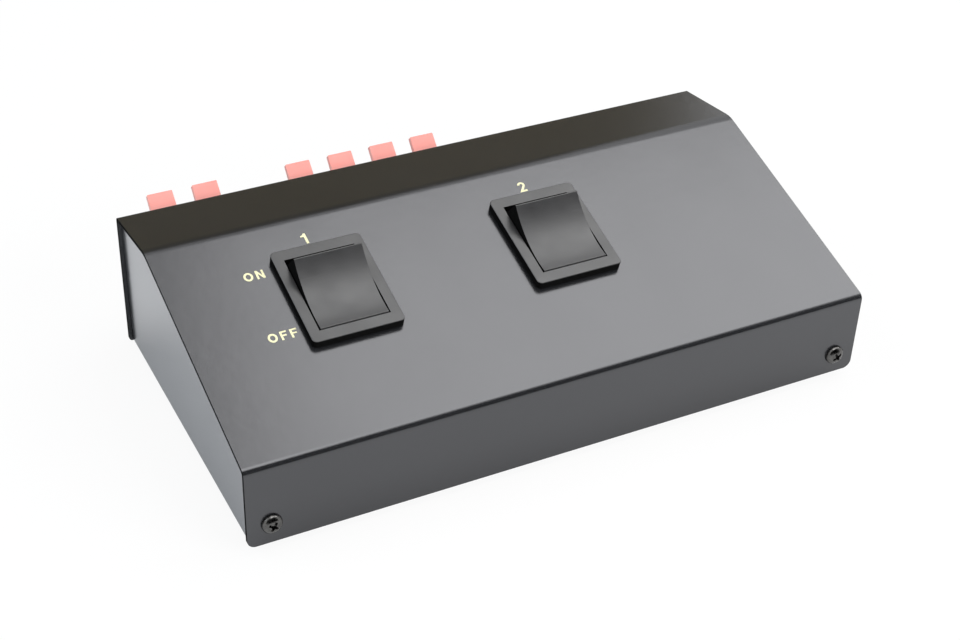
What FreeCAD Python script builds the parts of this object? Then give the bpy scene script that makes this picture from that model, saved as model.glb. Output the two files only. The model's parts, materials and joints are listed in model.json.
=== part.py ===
"""Two-way speaker selector switch: a folded steel box with two rocker switches and spring terminals.

Millimetres and degrees.  X runs along the box, Y from front to back, Z up from the feet's undersides.
"""

import FreeCAD, Part
import math
import os

import Sketcher

# Driving dimensions.  Every size below is one cell of the document's sheet.
SIZES = {
    # casing
    "case_width": 180.0,
    "case_depth": 95.0,
    "front_height": 24.2,
    "break_height": 44.2,
    "rear_height": 40.8,
    "strip_depth": 24.4,
    "sheet_thickness": 1.0,
    "sheet_gap": 0.3,
    "front_bend": 2.0,
    "rear_bend": 1.5,
    "break_bend": 9.0,
    "front_corner": 2.4,
    "rear_corner": 1.0,
    "side_inset": 1.0,
    "tray_drop": 0.5,
    "tray_bend": 1.5,
    "tray_lip": 12.0,
    "rear_tab_width": 5.5,
    # feet and screws
    "foot_height": 2.0,
    "foot_diameter": 10.0,
    "foot_base_diameter": 8.4,
    "foot_inset": 13.0,
    "screw_diameter": 3.0,
    "screw_head": 5.5,
    "screw_head_height": 1.9,
    "screw_head_bevel": 0.7,
    "screw_length": 6.0,
    "screw_clearance": 0.2,
    "thread_clearance": 0.05,
    "screw_up": 6.2,
    "front_screw_inset": 6.5,
    "rear_screw_inset": 5.0,
    # rocker switches
    "switch_from_left": 42.5,
    "switch_pitch": 64.0,
    "switch_up_slope": 45.6,
    "bezel_width": 25.5,
    "bezel_length": 31.5,
    "bezel_height": 2.3,
    "bezel_corner": 1.4,
    "bezel_round": 0.25,
    "opening_width": 19.7,
    "opening_length": 24.6,
    "housing_side_wall": 1.15,
    "housing_end_wall": 1.6,
    "housing_depth": 20.0,
    "housing_floor": 2.0,
    "housing_clearance": 0.1,
    "snap_width": 8.0,
    "snap_height": 0.8,
    "snap_length": 5.0,
    "pivot_depth": 3.3,
    "pivot_radius": 1.5,
    "pivot_seat": 0.9,
    "pivot_clearance": 0.06,
    "rocker_side_gap": 0.4,
    "rocker_tilt": 14.9,
    "rocker_end_gap": 0.3,
    "rocker_tip_gap": 0.1,
    "rocker_proud": 0.3,
    "rocker_dish_radius": 25.0,
    "rocker_skirt": 3.0,
    "rocker_wall": 1.5,
    "rocker_round": 0.3,
    "pole_spacing": 10.0,
    "boss_diameter": 6.0,
    "boss_depth": 6.0,
    "plunger_diameter": 3.4,
    "plunger_reach": 8.5,
    "plunger_length": 5.5,
    "plunger_clearance": 0.1,
    "plunger_gap": 0.15,
    "spring_wall": 0.4,
    "spring_length": 4.0,
    "blade_width": 5.0,
    "blade_length": 16.0,
    "blade_thickness": 0.8,
    "blade_tilt": 8.0,
    "contact_reach": 6.5,
    "contact_diameter": 3.0,
    "contact_height": 0.6,
    "contact_gap": 0.1,
    "tab_width": 6.3,
    "tab_thickness": 0.8,
    "tab_length": 8.0,
    "tab_clearance": 0.05,
    "terminal_spacing": 7.5,
    "saddle_ear": 0.9,
    "saddle_ear_height": 1.3,
    # spring terminal blocks
    "input_from_left": 21.75,
    "output_from_left": 75.6,
    "terminal_pitch": 13.0,
    "upper_row": 30.9,
    "lower_row": 14.3,
    "plate_thickness": 2.0,
    "plate_margin": 0.25,
    "plate_below": 10.5,
    "plate_above": 4.3,
    "ear_reach": 6.75,
    "ear_height": 8.0,
    "ear_corner": 3.4,
    "ear_hole_inset": 3.4,
    "ear_screw_head": 5.5,
    "face_depth": 3.2,
    "face_below": 9.8,
    "face_above": 2.7,
    "face_bevel": 0.6,
    "body_depth": 9.0,
    "body_wall": 1.0,
    "body_clearance": 0.25,
    "chamber_below": 9.0,
    "chamber_above": 2.5,
    "chamber_front": 1.0,
    "lever_slot": 8.2,
    "slot_below": 3.0,
    "wire_entry_width": 5.0,
    "wire_entry_height": 4.8,
    "wire_entry_below": 6.4,
    "hinge_out": 2.6,
    "hinge_radius": 0.9,
    "hinge_clearance": 0.06,
    "hinge_seat": 1.5,
    "hinge_pin": 1.1,
    "lever_angle": 45.0,
    "lever_length": 10.9,
    "lever_base_width": 7.5,
    "lever_tip_width": 7.2,
    "lever_base_thickness": 2.0,
    "lever_tip_thickness": 1.6,
    "lever_corner": 0.25,
    "hub_radius": 2.2,
    "arm_length": 4.2,
    "arm_thickness": 1.6,
    "clip_width": 5.0,
    "clip_thickness": 0.4,
    "clip_gap": 0.1,
    "clip_back": 8.6,
    "clip_knee": 2.6,
    "clip_toe": 2.3,
    "strip_width": 4.0,
    "strip_thickness": 0.6,
    "strip_front": 0.3,
    "lug_reach": 13.0,
    "lug_hole": 1.2,
    "lug_hole_inset": 1.5,
}

X_AXIS = FreeCAD.Vector(1, 0, 0)
PLANE_ROLES = {"plan": "XY_Plane", "side": "YZ_Plane", "front": "XZ_Plane"}
NEAR = 1e-4
FULL_TURN = 360.0

doc = FreeCAD.newDocument("speaker_selector")
sheet = doc.addObject("Spreadsheet::Sheet", "sheet")
for line, (alias, number) in enumerate(SIZES.items(), start=1):
    sheet.set("A%d" % line, alias)
    sheet.set("B%d" % line, str(number))
    sheet.setAlias("B%d" % line, alias)
doc.recompute()


class Size:
    """A length, angle or ratio: its value now, and the sheet expression that gives it."""

    def __init__(self, value, text):
        self.value = float(value)
        self.text = text

    def __add__(self, other):
        other = as_size(other)
        return Size(self.value + other.value, "(%s + %s)" % (self.text, other.text))

    def __sub__(self, other):
        other = as_size(other)
        return Size(self.value - other.value, "(%s - %s)" % (self.text, other.text))

    def __mul__(self, other):
        other = as_size(other)
        return Size(self.value * other.value, "(%s * %s)" % (self.text, other.text))

    def __truediv__(self, other):
        other = as_size(other)
        return Size(self.value / other.value, "(%s / %s)" % (self.text, other.text))

    def __radd__(self, other):
        return as_size(other) + self

    def __rsub__(self, other):
        return as_size(other) - self

    def __rmul__(self, other):
        return as_size(other) * self

    def __neg__(self):
        return as_size(0) - self


def as_size(number):
    """A plain number becomes a Size, and a Size stays as it is."""
    return number if isinstance(number, Size) else Size(number, repr(float(number)))


def cosine(angle):
    return Size(math.cos(math.radians(angle.value)), "cos(%s)" % angle.text)


def sine(angle):
    return Size(math.sin(math.radians(angle.value)), "sin(%s)" % angle.text)


def tangent(angle):
    return Size(math.tan(math.radians(angle.value)), "tan(%s)" % angle.text)


def root(number):
    return Size(math.sqrt(number.value), "sqrt(%s)" % number.text)


def angle_of(rise, run):
    """The angle in degrees whose tangent is rise over run."""
    degrees = math.degrees(math.atan(rise.value / run.value))
    return Size(degrees, "(atan(%s / %s) / (1 deg))" % (rise.text, run.text))


def size(alias):
    """The sheet's cell with this alias."""
    return Size(SIZES[alias], "sheet." + alias)


# ---- places that several pieces share ----

half_width = size("case_width") / 2
front_slope = angle_of(size("break_height") - size("front_height"),
                       size("case_depth") - size("strip_depth"))
strip_fall = angle_of(size("break_height") - size("rear_height"), size("strip_depth"))
lever_reach = (size("hinge_out") + size("lever_length") * sine(size("lever_angle"))
               + size("lever_tip_thickness") / 2 * cosine(size("lever_angle")))
front_y = (size("screw_head_height") - size("case_depth") - lever_reach) / 2
rear_y = front_y + size("case_depth")
break_y = rear_y - size("strip_depth")
cover_z = size("foot_height") + size("tray_drop")
wall_inset = size("sheet_thickness") + size("sheet_gap")
tray_half = half_width - size("side_inset")
switch_y = front_y + size("switch_up_slope") * cosine(front_slope)
switch_z = cover_z + size("front_height") + size("switch_up_slope") * sine(front_slope)
screw_z = cover_z + size("screw_up")
shank_hole = size("screw_diameter") / 2 + size("screw_clearance")
thread_hole = size("screw_diameter") / 2 + size("thread_clearance")
pole_x = size("pole_spacing") / 2
blade_pivot_z = -(size("pivot_depth") + size("plunger_reach") + size("plunger_gap")
                  + size("blade_thickness"))
floor_z = size("housing_floor") - size("housing_depth")
open_x, open_y = size("opening_width") / 2, size("opening_length") / 2
box_x = open_x + size("housing_side_wall")
box_y = open_y + size("housing_end_wall")
strip_top = size("strip_thickness") - size("chamber_below")
rows = {"red": size("upper_row"), "black": size("lower_row")}
row_middle = (size("upper_row") - size("chamber_below") + size("lower_row")
              + size("chamber_above")) / 2


# ---- modelling helpers ----

def new_body(name):
    body = doc.addObject("PartDesign::Body", name)
    body.Label = name
    return body


def place(thing, x, y, z, turn=0):
    """Bind a body's place, and its turn about the X axis, to the sheet."""
    base = [as_size(x), as_size(y), as_size(z)]
    turn = as_size(turn)
    thing.Placement = FreeCAD.Placement(FreeCAD.Vector(*[part.value for part in base]),
                                        FreeCAD.Rotation(X_AXIS, turn.value or 1))
    for axis, part in zip("xyz", base):
        thing.setExpression(".Placement.Base." + axis, part.text)
    thing.setExpression(".Placement.Rotation.Angle", turn.text)


def new_sketch(body, name, plane, lift, shift=(0, 0), turn=None):
    """A sketch on one of the body's own planes, lifted along the plane's normal."""
    sketch = body.newObject("Sketcher::SketchObject", name)
    flat = [item for item in body.Origin.OriginFeatures if item.Role == PLANE_ROLES[plane]][0]
    sketch.AttachmentSupport = [(flat, "")]
    sketch.MapMode = "FlatFace"
    base = [as_size(shift[0]), as_size(shift[1]), as_size(lift)]
    rotation = FreeCAD.Rotation(X_AXIS, turn.value) if turn else FreeCAD.Rotation()
    sketch.AttachmentOffset = FreeCAD.Placement(
        FreeCAD.Vector(*[part.value for part in base]), rotation)
    for axis, part in zip("xyz", base):
        sketch.setExpression(".AttachmentOffset.Base." + axis, part.text)
    if turn:
        sketch.setExpression(".AttachmentOffset.Rotation.Angle", turn.text)
    return sketch


def bind(sketch, kind, reference, target, length):
    """One dimension of a sketch, tied to a Size."""
    where = sketch.addConstraint(Sketcher.Constraint(kind, *reference, *target, length.value))
    sketch.setExpression("Constraints[%d]" % where, length.text)


def draw_loop(sketch, points, arcs=()):
    """A closed outline; arcs maps an edge's index to its centre and radius."""
    arcs = dict(arcs)
    points = [(as_size(x), as_size(y)) for x, y in points]
    ends = [FreeCAD.Vector(x.value, y.value, 0) for x, y in points]
    first = len(sketch.Geometry)
    clockwise = set()
    for index, start in enumerate(ends):
        stop = ends[(index + 1) % len(ends)]
        if index in arcs:
            centre, radius = arcs[index]
            middle = (start + stop) / 2 - centre
            middle = centre + middle * (radius.value / middle.Length)
            if (start - centre).cross(stop - centre).z < 0:
                clockwise.add(index)
                start, stop = stop, start
            sketch.addGeometry(Part.Arc(start, middle, stop))
        else:
            sketch.addGeometry(Part.LineSegment(start, stop))
    for index, (x, y) in enumerate(points):
        edge = first + index
        begin, end = (2, 1) if index in clockwise else (1, 2)
        following = (index + 1) % len(points)
        meets = 2 if following in clockwise else 1
        sketch.addConstraint(Sketcher.Constraint("Coincident", edge, end, first + following, meets))
        bind(sketch, "DistanceX", (-1, 1), (edge, begin), x)
        bind(sketch, "DistanceY", (-1, 1), (edge, begin), y)
        if index in arcs:
            bind(sketch, "Radius", (edge,), (), arcs[index][1])


def draw_box(sketch, x_range, y_range):
    (left, right), (low, high) = x_range, y_range
    draw_loop(sketch, [(left, low), (right, low), (right, high), (left, high)])


def draw_circle(sketch, x, y, radius):
    x, y, radius = as_size(x), as_size(y), as_size(radius)
    place_now = FreeCAD.Vector(x.value, y.value, 0)
    edge = sketch.addGeometry(Part.Circle(place_now, FreeCAD.Vector(0, 0, 1), radius.value))
    bind(sketch, "DistanceX", (-1, 1), (edge, 3), x)
    bind(sketch, "DistanceY", (-1, 1), (edge, 3), y)
    bind(sketch, "Radius", (edge,), (), radius)


def extrude(body, name, plane, draw, start, stop, cut=False):
    """Pad, or cut, a sketch along its plane's axis from start to stop."""
    start, stop = as_size(start), as_size(stop)
    sketch = new_sketch(body, name + "_sketch", plane, -stop if plane == "front" else start)
    draw(sketch)
    return sweep_sketch(body, name, sketch, stop - start, cut)


def sweep_sketch(body, name, sketch, length, cut):
    """Pad or cut a drawn sketch along its normal, and make sure that a cut removes something."""
    before = body.Shape.Volume if cut else 0
    feature = body.newObject("PartDesign::Pocket" if cut else "PartDesign::Pad", name)
    feature.Profile = sketch
    feature.Length = length.value
    feature.setExpression("Length", length.text)
    feature.Reversed = cut
    doc.recompute()
    if cut and not body.Shape.Volume < before:
        raise ValueError("%s removes nothing" % name)
    return feature


def revolve(body, name, draw):
    """Turn a sketch on the front plane once round the body's Z axis."""
    sketch = new_sketch(body, name + "_sketch", "front", 0)
    draw(sketch)
    feature = body.newObject("PartDesign::Revolution", name)
    feature.Profile = sketch
    feature.ReferenceAxis = (sketch, ["V_Axis"])
    feature.Angle = FULL_TURN
    doc.recompute()


def matches(place_now, wanted):
    return all(target is None or abs(part - as_size(target).value) < NEAR
               for part, target in zip(place_now, wanted))


def find_edges(body, wanted, along):
    """Names of the straight edges along an axis whose middle lies at the wanted place."""
    names = []
    for index, edge in enumerate(body.Shape.Edges, start=1):
        if edge.Curve.TypeId != "Part::GeomLine":
            continue
        run = edge.Vertexes[1].Point - edge.Vertexes[0].Point
        if abs(abs(run["XYZ".index(along)]) - run.Length) > NEAR:
            continue
        if matches(edge.CenterOfMass, wanted):
            names.append("Edge%d" % index)
    return names


def find_rims(body, wanted):
    """Names of the round edges whose centre lies at the wanted place."""
    return ["Edge%d" % index for index, edge in enumerate(body.Shape.Edges, start=1)
            if edge.Curve.TypeId == "Part::GeomCircle" and matches(edge.Curve.Center, wanted)]


def soften(body, name, kind, amount, edges):
    """Fillet or Chamfer the named edges of the body's last feature."""
    if not edges:
        raise ValueError("%s finds no edge" % name)
    base = body.Tip
    feature = body.newObject("PartDesign::" + kind, name)
    feature.Base = (base, edges)
    rule = "Radius" if kind == "Fillet" else "Size"
    setattr(feature, rule, amount.value)
    feature.setExpression(rule, amount.text)
    doc.recompute()


def hollow(body, name, wall, openings):
    """Shell the body inward, open at the faces whose centre lies at the wanted places."""
    faces = ["Face%d" % index for index, face in enumerate(body.Shape.Faces, start=1)
             if any(matches(face.CenterOfMass, wanted) for wanted in openings)]
    if len(faces) < len(openings):
        raise ValueError("%s finds too few faces" % name)
    base = body.Tip
    feature = body.newObject("PartDesign::Thickness", name)
    feature.Base = (base, faces)
    feature.Value = wall.value
    feature.setExpression("Value", wall.text)
    feature.Reversed = True
    feature.Mode = 0
    feature.Join = 1
    doc.recompute()


def group(name, members):
    """One piece made of several loose solids."""
    compound = doc.addObject("Part::Compound", name)
    compound.Label = name
    compound.Links = members
    return compound


pieces = []


def keep(piece):
    pieces.append(piece)
    return piece


# ---- casing ----

def cut_switch_hole(body, centre_x, number):
    """The rectangular cut-out for a switch, square to the sloping panel."""
    depth = size("sheet_thickness") * 2
    sketch = new_sketch(body, "switch_cut_out_%d_sketch" % number, "plan",
                        switch_z - depth * cosine(front_slope),
                        (centre_x, switch_y + depth * sine(front_slope)), front_slope)
    across = box_x + size("housing_clearance")
    along = box_y + size("housing_clearance")
    draw_box(sketch, (-across, across), (-along, along))
    sweep_sketch(body, "switch_cut_out_%d" % number, sketch, depth * 2, True)


def make_cover():
    """The folded cover: front flange, sloping panel, falling strip and rear panel in one sheet."""
    body = new_body("top_cover")
    front_top = cover_z + size("front_height")
    break_top = cover_z + size("break_height")
    rear_top = cover_z + size("rear_height")
    outline = [(front_y, cover_z), (rear_y, cover_z), (rear_y, rear_top),
               (break_y, break_top), (front_y, front_top)]
    extrude(body, "wedge", "side", lambda sketch: draw_loop(sketch, outline),
            -half_width, half_width)
    for name, y, z in (("front", front_y, front_top), ("rear", rear_y, rear_top),
                       ("break", break_y, break_top)):
        soften(body, name + "_fold", "Fillet", size(name + "_bend"),
               find_edges(body, (None, y, z), "X"))
    hollow(body, "shell", size("sheet_thickness"),
           [(-half_width, None, None), (half_width, None, None), (None, None, cover_z)])
    middle = size("sheet_thickness") / 2
    for end, y in (("front", front_y + middle), ("rear", rear_y - middle)):
        corners = [edge for side in (-half_width, half_width)
                   for edge in find_edges(body, (side, y, cover_z), "Y")]
        soften(body, end + "_flange_corners", "Fillet", size(end + "_corner"), corners)
    for number, centre_x in enumerate(switch_centres(), start=1):
        cut_switch_hole(body, centre_x, number)
    cut_rear_panel(body)
    cut_screw_holes(body, "cover", front_y, rear_y - size("sheet_thickness"), shank_hole)
    return keep(body)


def cut_rear_panel(body):
    """Windows for the terminal blocks' bodies, and holes for the screws in their ears."""
    inside = rear_y - size("sheet_thickness")
    low = cover_z + size("lower_row") - size("chamber_below") - size("body_wall")
    high = cover_z + size("upper_row") + size("chamber_above") + size("body_wall")
    spare = size("body_clearance")

    def windows(sketch):
        for centre_x, columns in terminal_blocks().values():
            half = size("terminal_pitch") * columns / 2 + spare
            draw_box(sketch, (centre_x - half, centre_x + half), (low - spare, high + spare))

    def holes(sketch):
        for centre_x, columns in terminal_blocks().values():
            for side in (-1, 1):
                draw_circle(sketch, centre_x + ear_hole_x(columns) * side,
                            cover_z + row_middle, thread_hole)

    extrude(body, "terminal_windows", "front", windows, inside, rear_y, cut=True)
    extrude(body, "ear_screw_holes", "front", holes, inside, rear_y, cut=True)


def cut_screw_holes(body, name, front_wall, rear_wall, radius):
    """Two holes through the front wall and two through the rear one."""
    for side, wall in (("front", front_wall), ("rear", rear_wall)):
        reach = half_width - size(side + "_screw_inset")

        def holes(sketch, reach=reach):
            for x in (-reach, reach):
                draw_circle(sketch, x, screw_z, radius)

        extrude(body, "%s_%s_holes" % (name, side), "front", holes,
                wall, wall + size("sheet_thickness"), cut=True)


def make_tray():
    """The base: floor, two wedge-shaped side panels, a front lip and two rear tabs."""
    body = new_body("base_tray")
    low = size("foot_height")
    front = front_y + wall_inset
    rear = rear_y - wall_inset
    slope_drop = wall_inset / cosine(front_slope)
    strip_drop = wall_inset / cosine(strip_fall)
    front_top = (cover_z + size("front_height") + wall_inset * tangent(front_slope)
                 - slope_drop)
    rear_top = (cover_z + size("rear_height") + wall_inset * tangent(strip_fall)
                - strip_drop)
    shift = (slope_drop - strip_drop) / (tangent(front_slope) + tangent(strip_fall))
    peak = (cover_z + size("break_height") + shift * tangent(front_slope) - slope_drop)
    outline = [(front, low), (rear, low), (rear, rear_top), (break_y + shift, peak),
               (front, front_top)]
    extrude(body, "wedge", "side", lambda sketch: draw_loop(sketch, outline),
            -tray_half, tray_half)
    edges = [edge for side in (-tray_half, tray_half)
             for edge in find_edges(body, (side, None, low), "Y")]
    soften(body, "side_folds", "Fillet", size("tray_bend"), edges)
    slope_middle = (front + break_y + shift) / 2
    strip_middle = (rear + break_y + shift) / 2
    hollow(body, "shell", size("sheet_thickness"),
           [(None, slope_middle, None), (None, strip_middle, None)])
    inner = tray_half - size("sheet_thickness")
    lip_top = low + size("tray_lip")
    above = cover_z + size("break_height")

    def over(bottom, reach):
        return lambda sketch: draw_box(sketch, (-reach, reach), (bottom, above))

    extrude(body, "front_opening", "front", over(lip_top, inner),
            front, front + size("sheet_thickness"), cut=True)
    extrude(body, "rear_opening", "front", over(lip_top, inner),
            rear - size("sheet_thickness"), rear, cut=True)
    extrude(body, "rear_gap", "front",
            over(low + size("sheet_thickness"), inner - size("rear_tab_width")),
            rear - size("sheet_thickness"), rear, cut=True)
    cut_screw_holes(body, "tray", front, rear - size("sheet_thickness"), thread_hole)
    return keep(body)


def make_screw(name, head_diameter, x, y, z, turn):
    """A pan head screw along Y, its head's seat at the given place."""
    body = new_body(name)
    extrude(body, "head", "front",
            lambda sketch: draw_circle(sketch, 0, 0, head_diameter / 2),
            -size("screw_head_height"), 0)
    soften(body, "head_bevel", "Chamfer", size("screw_head_bevel"),
           find_rims(body, (0, -size("screw_head_height"), 0)))
    extrude(body, "shank", "front",
            lambda sketch: draw_circle(sketch, 0, 0, size("screw_diameter") / 2),
            0, size("screw_length"))
    place(body, x, y, z, turn)
    return body


def make_screws():
    """The cover's four screws, and the four that hold the terminal blocks."""
    cover = []
    for side, y, turn in (("front", front_y, 0), ("rear", rear_y, FULL_TURN / 2)):
        for hand, sign in (("left", -1), ("right", 1)):
            x = (half_width - size(side + "_screw_inset")) * sign
            cover.append(make_screw("cover_screw_%s_%s" % (side, hand), size("screw_head"),
                                    x, y, screw_z, turn))
    keep(group("cover_screws", cover))
    seat = rear_y + size("plate_thickness")
    ears = []
    for name, (centre_x, columns) in terminal_blocks().items():
        for hand, sign in (("left", -1), ("right", 1)):
            ears.append(make_screw("%s_screw_%s" % (name, hand), size("ear_screw_head"),
                                   centre_x + ear_hole_x(columns) * sign, seat,
                                   cover_z + row_middle, FULL_TURN / 2))
    keep(group("terminal_block_screws", ears))


def make_feet():
    """Four rubber feet under the tray."""
    for end, y in (("front", front_y + size("foot_inset")), ("rear", rear_y - size("foot_inset"))):
        for hand, sign in (("left", -1), ("right", 1)):
            name = "foot_%s_%s" % (end, hand)
            foot = doc.addObject("Part::Cone", name)
            foot.Label = name
            foot.setExpression("Radius1", (size("foot_base_diameter") / 2).text)
            foot.setExpression("Radius2", (size("foot_diameter") / 2).text)
            foot.setExpression("Height", size("foot_height").text)
            place(foot, (half_width - size("foot_inset")) * sign, y, 0)
            keep(foot)


# ---- rocker switches ----

def switch_centres():
    first = size("switch_from_left") - half_width
    return [first, first + size("switch_pitch")]


def place_in_switch(piece, centre_x, y=0, z=0, turn=0):
    """Put a piece at a place of the switch's own frame: y up the slope, z out of the panel."""
    y, z = as_size(y), as_size(z)
    place(piece, centre_x,
          switch_y + y * cosine(front_slope) - z * sine(front_slope),
          switch_z + y * sine(front_slope) + z * cosine(front_slope),
          front_slope + turn)


def draw_poles(sketch, half, y_range):
    """The same rectangle at both poles."""
    for side in (-1, 1):
        draw_box(sketch, (pole_x * side - half, pole_x * side + half), y_range)


def make_housing(name, centre_x):
    """The switch's moulded housing: bezel, open box, pivot holes, rest ribs and snap wedges."""
    body = new_body(name)
    across, along = size("bezel_width") / 2, size("bezel_length") / 2
    extrude(body, "bezel", "plan",
            lambda sketch: draw_box(sketch, (-across, across), (-along, along)),
            0, size("bezel_height"))
    corners = [edge for x in (-across, across) for y in (-along, along)
               for edge in find_edges(body, (x, y, None), "Z")]
    soften(body, "bezel_corners", "Fillet", size("bezel_corner"), corners)
    top = (find_edges(body, (None, None, size("bezel_height")), "X")
           + find_edges(body, (None, None, size("bezel_height")), "Y"))
    soften(body, "bezel_rounding", "Fillet", size("bezel_round"), top)
    extrude(body, "box", "plan",
            lambda sketch: draw_box(sketch, (-box_x, box_x), (-box_y, box_y)),
            -size("housing_depth"), 0)
    extrude(body, "opening", "plan",
            lambda sketch: draw_box(sketch, (-open_x, open_x), (-open_y, open_y)),
            floor_z, size("bezel_height"), cut=True)
    extrude(body, "pivot_holes", "side",
            lambda sketch: draw_circle(sketch, 0, -size("pivot_depth"),
                                       size("pivot_radius") + size("pivot_clearance")),
            -box_x, box_x, cut=True)
    add_snaps(body)
    add_contact_floor(body)
    place_in_switch(body, centre_x)
    return keep(body)


def add_snaps(body):
    """A wedge on each end wall that springs out behind the panel."""
    top = -(size("sheet_thickness") + size("housing_clearance"))
    half = size("snap_width") / 2

    def wedges(sketch):
        for side in (-1, 1):
            draw_loop(sketch, [(box_y * side, top),
                               ((box_y + size("snap_height")) * side, top),
                               (box_y * side, top - size("snap_length"))])

    extrude(body, "snaps", "side", wedges, -half, half)


def add_contact_floor(body):
    """A rib that the blades' idle ends rest near, and slots in the floor for the tabs."""
    rib_top = (blade_pivot_z - (size("blade_length") / 2) * sine(size("blade_tilt"))
               - size("contact_gap"))
    reach = size("contact_reach")
    half = size("contact_diameter") / 2
    extrude(body, "rest_rib", "plan",
            lambda sketch: draw_poles(sketch, size("blade_width") / 2,
                                      (reach - half, reach + half)),
            floor_z, rib_top)
    slot_x = size("tab_width") / 2 + size("tab_clearance")
    slot_y = size("tab_thickness") / 2 + size("tab_clearance")

    def slots(sketch):
        for y in (as_size(0), -size("terminal_spacing")):
            draw_poles(sketch, slot_x, (y - slot_y, y + slot_y))

    extrude(body, "tab_slots", "plan", slots, -size("housing_depth"), floor_z, cut=True)


def make_rocker(name, centre_x):
    """The rocker: a hollow dished cap with trunnions and two plunger bosses, origin at its pivot."""
    body = new_body(name)
    tilt = size("rocker_tilt")
    radius = open_y - size("rocker_end_gap")
    pressed_y = open_y - size("rocker_tip_gap")
    pressed_z = size("pivot_depth") + size("bezel_height") + size("rocker_proud")
    tip_y = pressed_y * cosine(tilt) - pressed_z * sine(tilt)
    tip_z = pressed_z * cosine(tilt) + pressed_y * sine(tilt)
    end_y, end_z = radius * cosine(tilt), radius * sine(tilt)
    skirt = size("rocker_skirt")
    skirt_y = root(radius * radius - skirt * skirt)
    dish = size("rocker_dish_radius")
    dish_z = tip_z + root(dish * dish - tip_y * tip_y)
    outline = [(-tip_y, tip_z), (-end_y, end_z), (-skirt_y, -skirt),
               (skirt_y, -skirt), (end_y, end_z), (tip_y, tip_z)]
    pivot, above = FreeCAD.Vector(0, 0, 0), FreeCAD.Vector(0, dish_z.value, 0)
    arcs = {1: (pivot, radius), 3: (pivot, radius), 5: (above, dish)}
    half = open_x - size("rocker_side_gap")
    extrude(body, "cap", "side", lambda sketch: draw_loop(sketch, outline, arcs), -half, half)
    hollow(body, "shell", size("rocker_wall"), [(None, None, -skirt)])
    tips = [edge for y in (-tip_y, tip_y) for edge in find_edges(body, (None, y, tip_z), "X")]
    soften(body, "tip_rounding", "Fillet", size("rocker_round"), tips)
    boss_top = dish_z - dish - size("rocker_wall") / 2

    def at_poles(diameter):
        def circles(sketch):
            for side in (-1, 1):
                draw_circle(sketch, pole_x * side, 0, diameter / 2)
        return circles

    extrude(body, "bosses", "plan", at_poles(size("boss_diameter")), -size("boss_depth"), boss_top)
    bore = size("plunger_diameter") + size("plunger_clearance") * 2
    extrude(body, "spring_bores", "plan", at_poles(bore), -size("boss_depth"), spring_top(), cut=True)
    root_x = half - size("rocker_wall") / 2
    pin_x = open_x + size("pivot_seat")
    for hand, start, stop in (("left", -pin_x, -root_x), ("right", root_x, pin_x)):
        extrude(body, hand + "_trunnion", "side",
                lambda sketch: draw_circle(sketch, 0, 0, size("pivot_radius")), start, stop)
    place_in_switch(body, centre_x, z=-size("pivot_depth"), turn=tilt)
    return keep(body)


def spring_top():
    return size("plunger_length") - size("plunger_reach") + size("spring_length")


def make_plungers(name, centre_x):
    """Round-nosed plungers, one under each boss, in the rocker's frame."""
    radius = size("plunger_diameter") / 2
    tip = -size("plunger_reach")
    shoulder = tip + radius
    top = tip + size("plunger_length")
    stems = []
    for side in (-1, 1):
        stem = new_body("%s_%s" % (name, "left" if side < 0 else "right"))
        outline = [(0, tip), (radius, shoulder), (radius, top), (0, top)]
        centre = FreeCAD.Vector(0, shoulder.value, 0)
        revolve(stem, "plunger", lambda sketch: draw_loop(sketch, outline, {0: (centre, radius)}))
        place_in_switch(stem, centre_x + pole_x * side, z=-size("pivot_depth"),
                        turn=size("rocker_tilt"))
        stems.append(stem)
    return keep(group(name, stems))


def make_springs(name, centre_x):
    """Plain sleeves that fill the places of the coil springs above the plungers."""
    radius = size("plunger_diameter") / 2 - size("plunger_clearance")
    sleeves = []
    for side in (-1, 1):
        sleeve = new_body("%s_%s" % (name, "left" if side < 0 else "right"))

        def rings(sketch):
            draw_circle(sketch, 0, 0, radius)
            draw_circle(sketch, 0, 0, radius - size("spring_wall"))

        extrude(sleeve, "sleeve", "plan", rings, spring_top() - size("spring_length"), spring_top())
        place_in_switch(sleeve, centre_x + pole_x * side, z=-size("pivot_depth"),
                        turn=size("rocker_tilt"))
        sleeves.append(sleeve)
    return keep(group(name, sleeves))


def make_blades(name, centre_x):
    """Seesaw contact blades, one for each pole, with a contact rivet under one end."""
    blades = []
    half = size("blade_width") / 2
    reach = size("blade_length") / 2
    for side in (-1, 1):
        blade = new_body("%s_%s" % (name, "left" if side < 0 else "right"))
        extrude(blade, "blade", "plan",
                lambda sketch: draw_box(sketch, (-half, half), (-reach, reach)),
                0, size("blade_thickness"))
        extrude(blade, "rivet", "plan",
                lambda sketch: draw_circle(sketch, 0, -size("contact_reach"),
                                           size("contact_diameter") / 2),
                -size("contact_height"), 0)
        place_in_switch(blade, centre_x + pole_x * side, z=blade_pivot_z,
                        turn=-size("blade_tilt"))
        blades.append(blade)
    return keep(group(name, blades))


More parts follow.
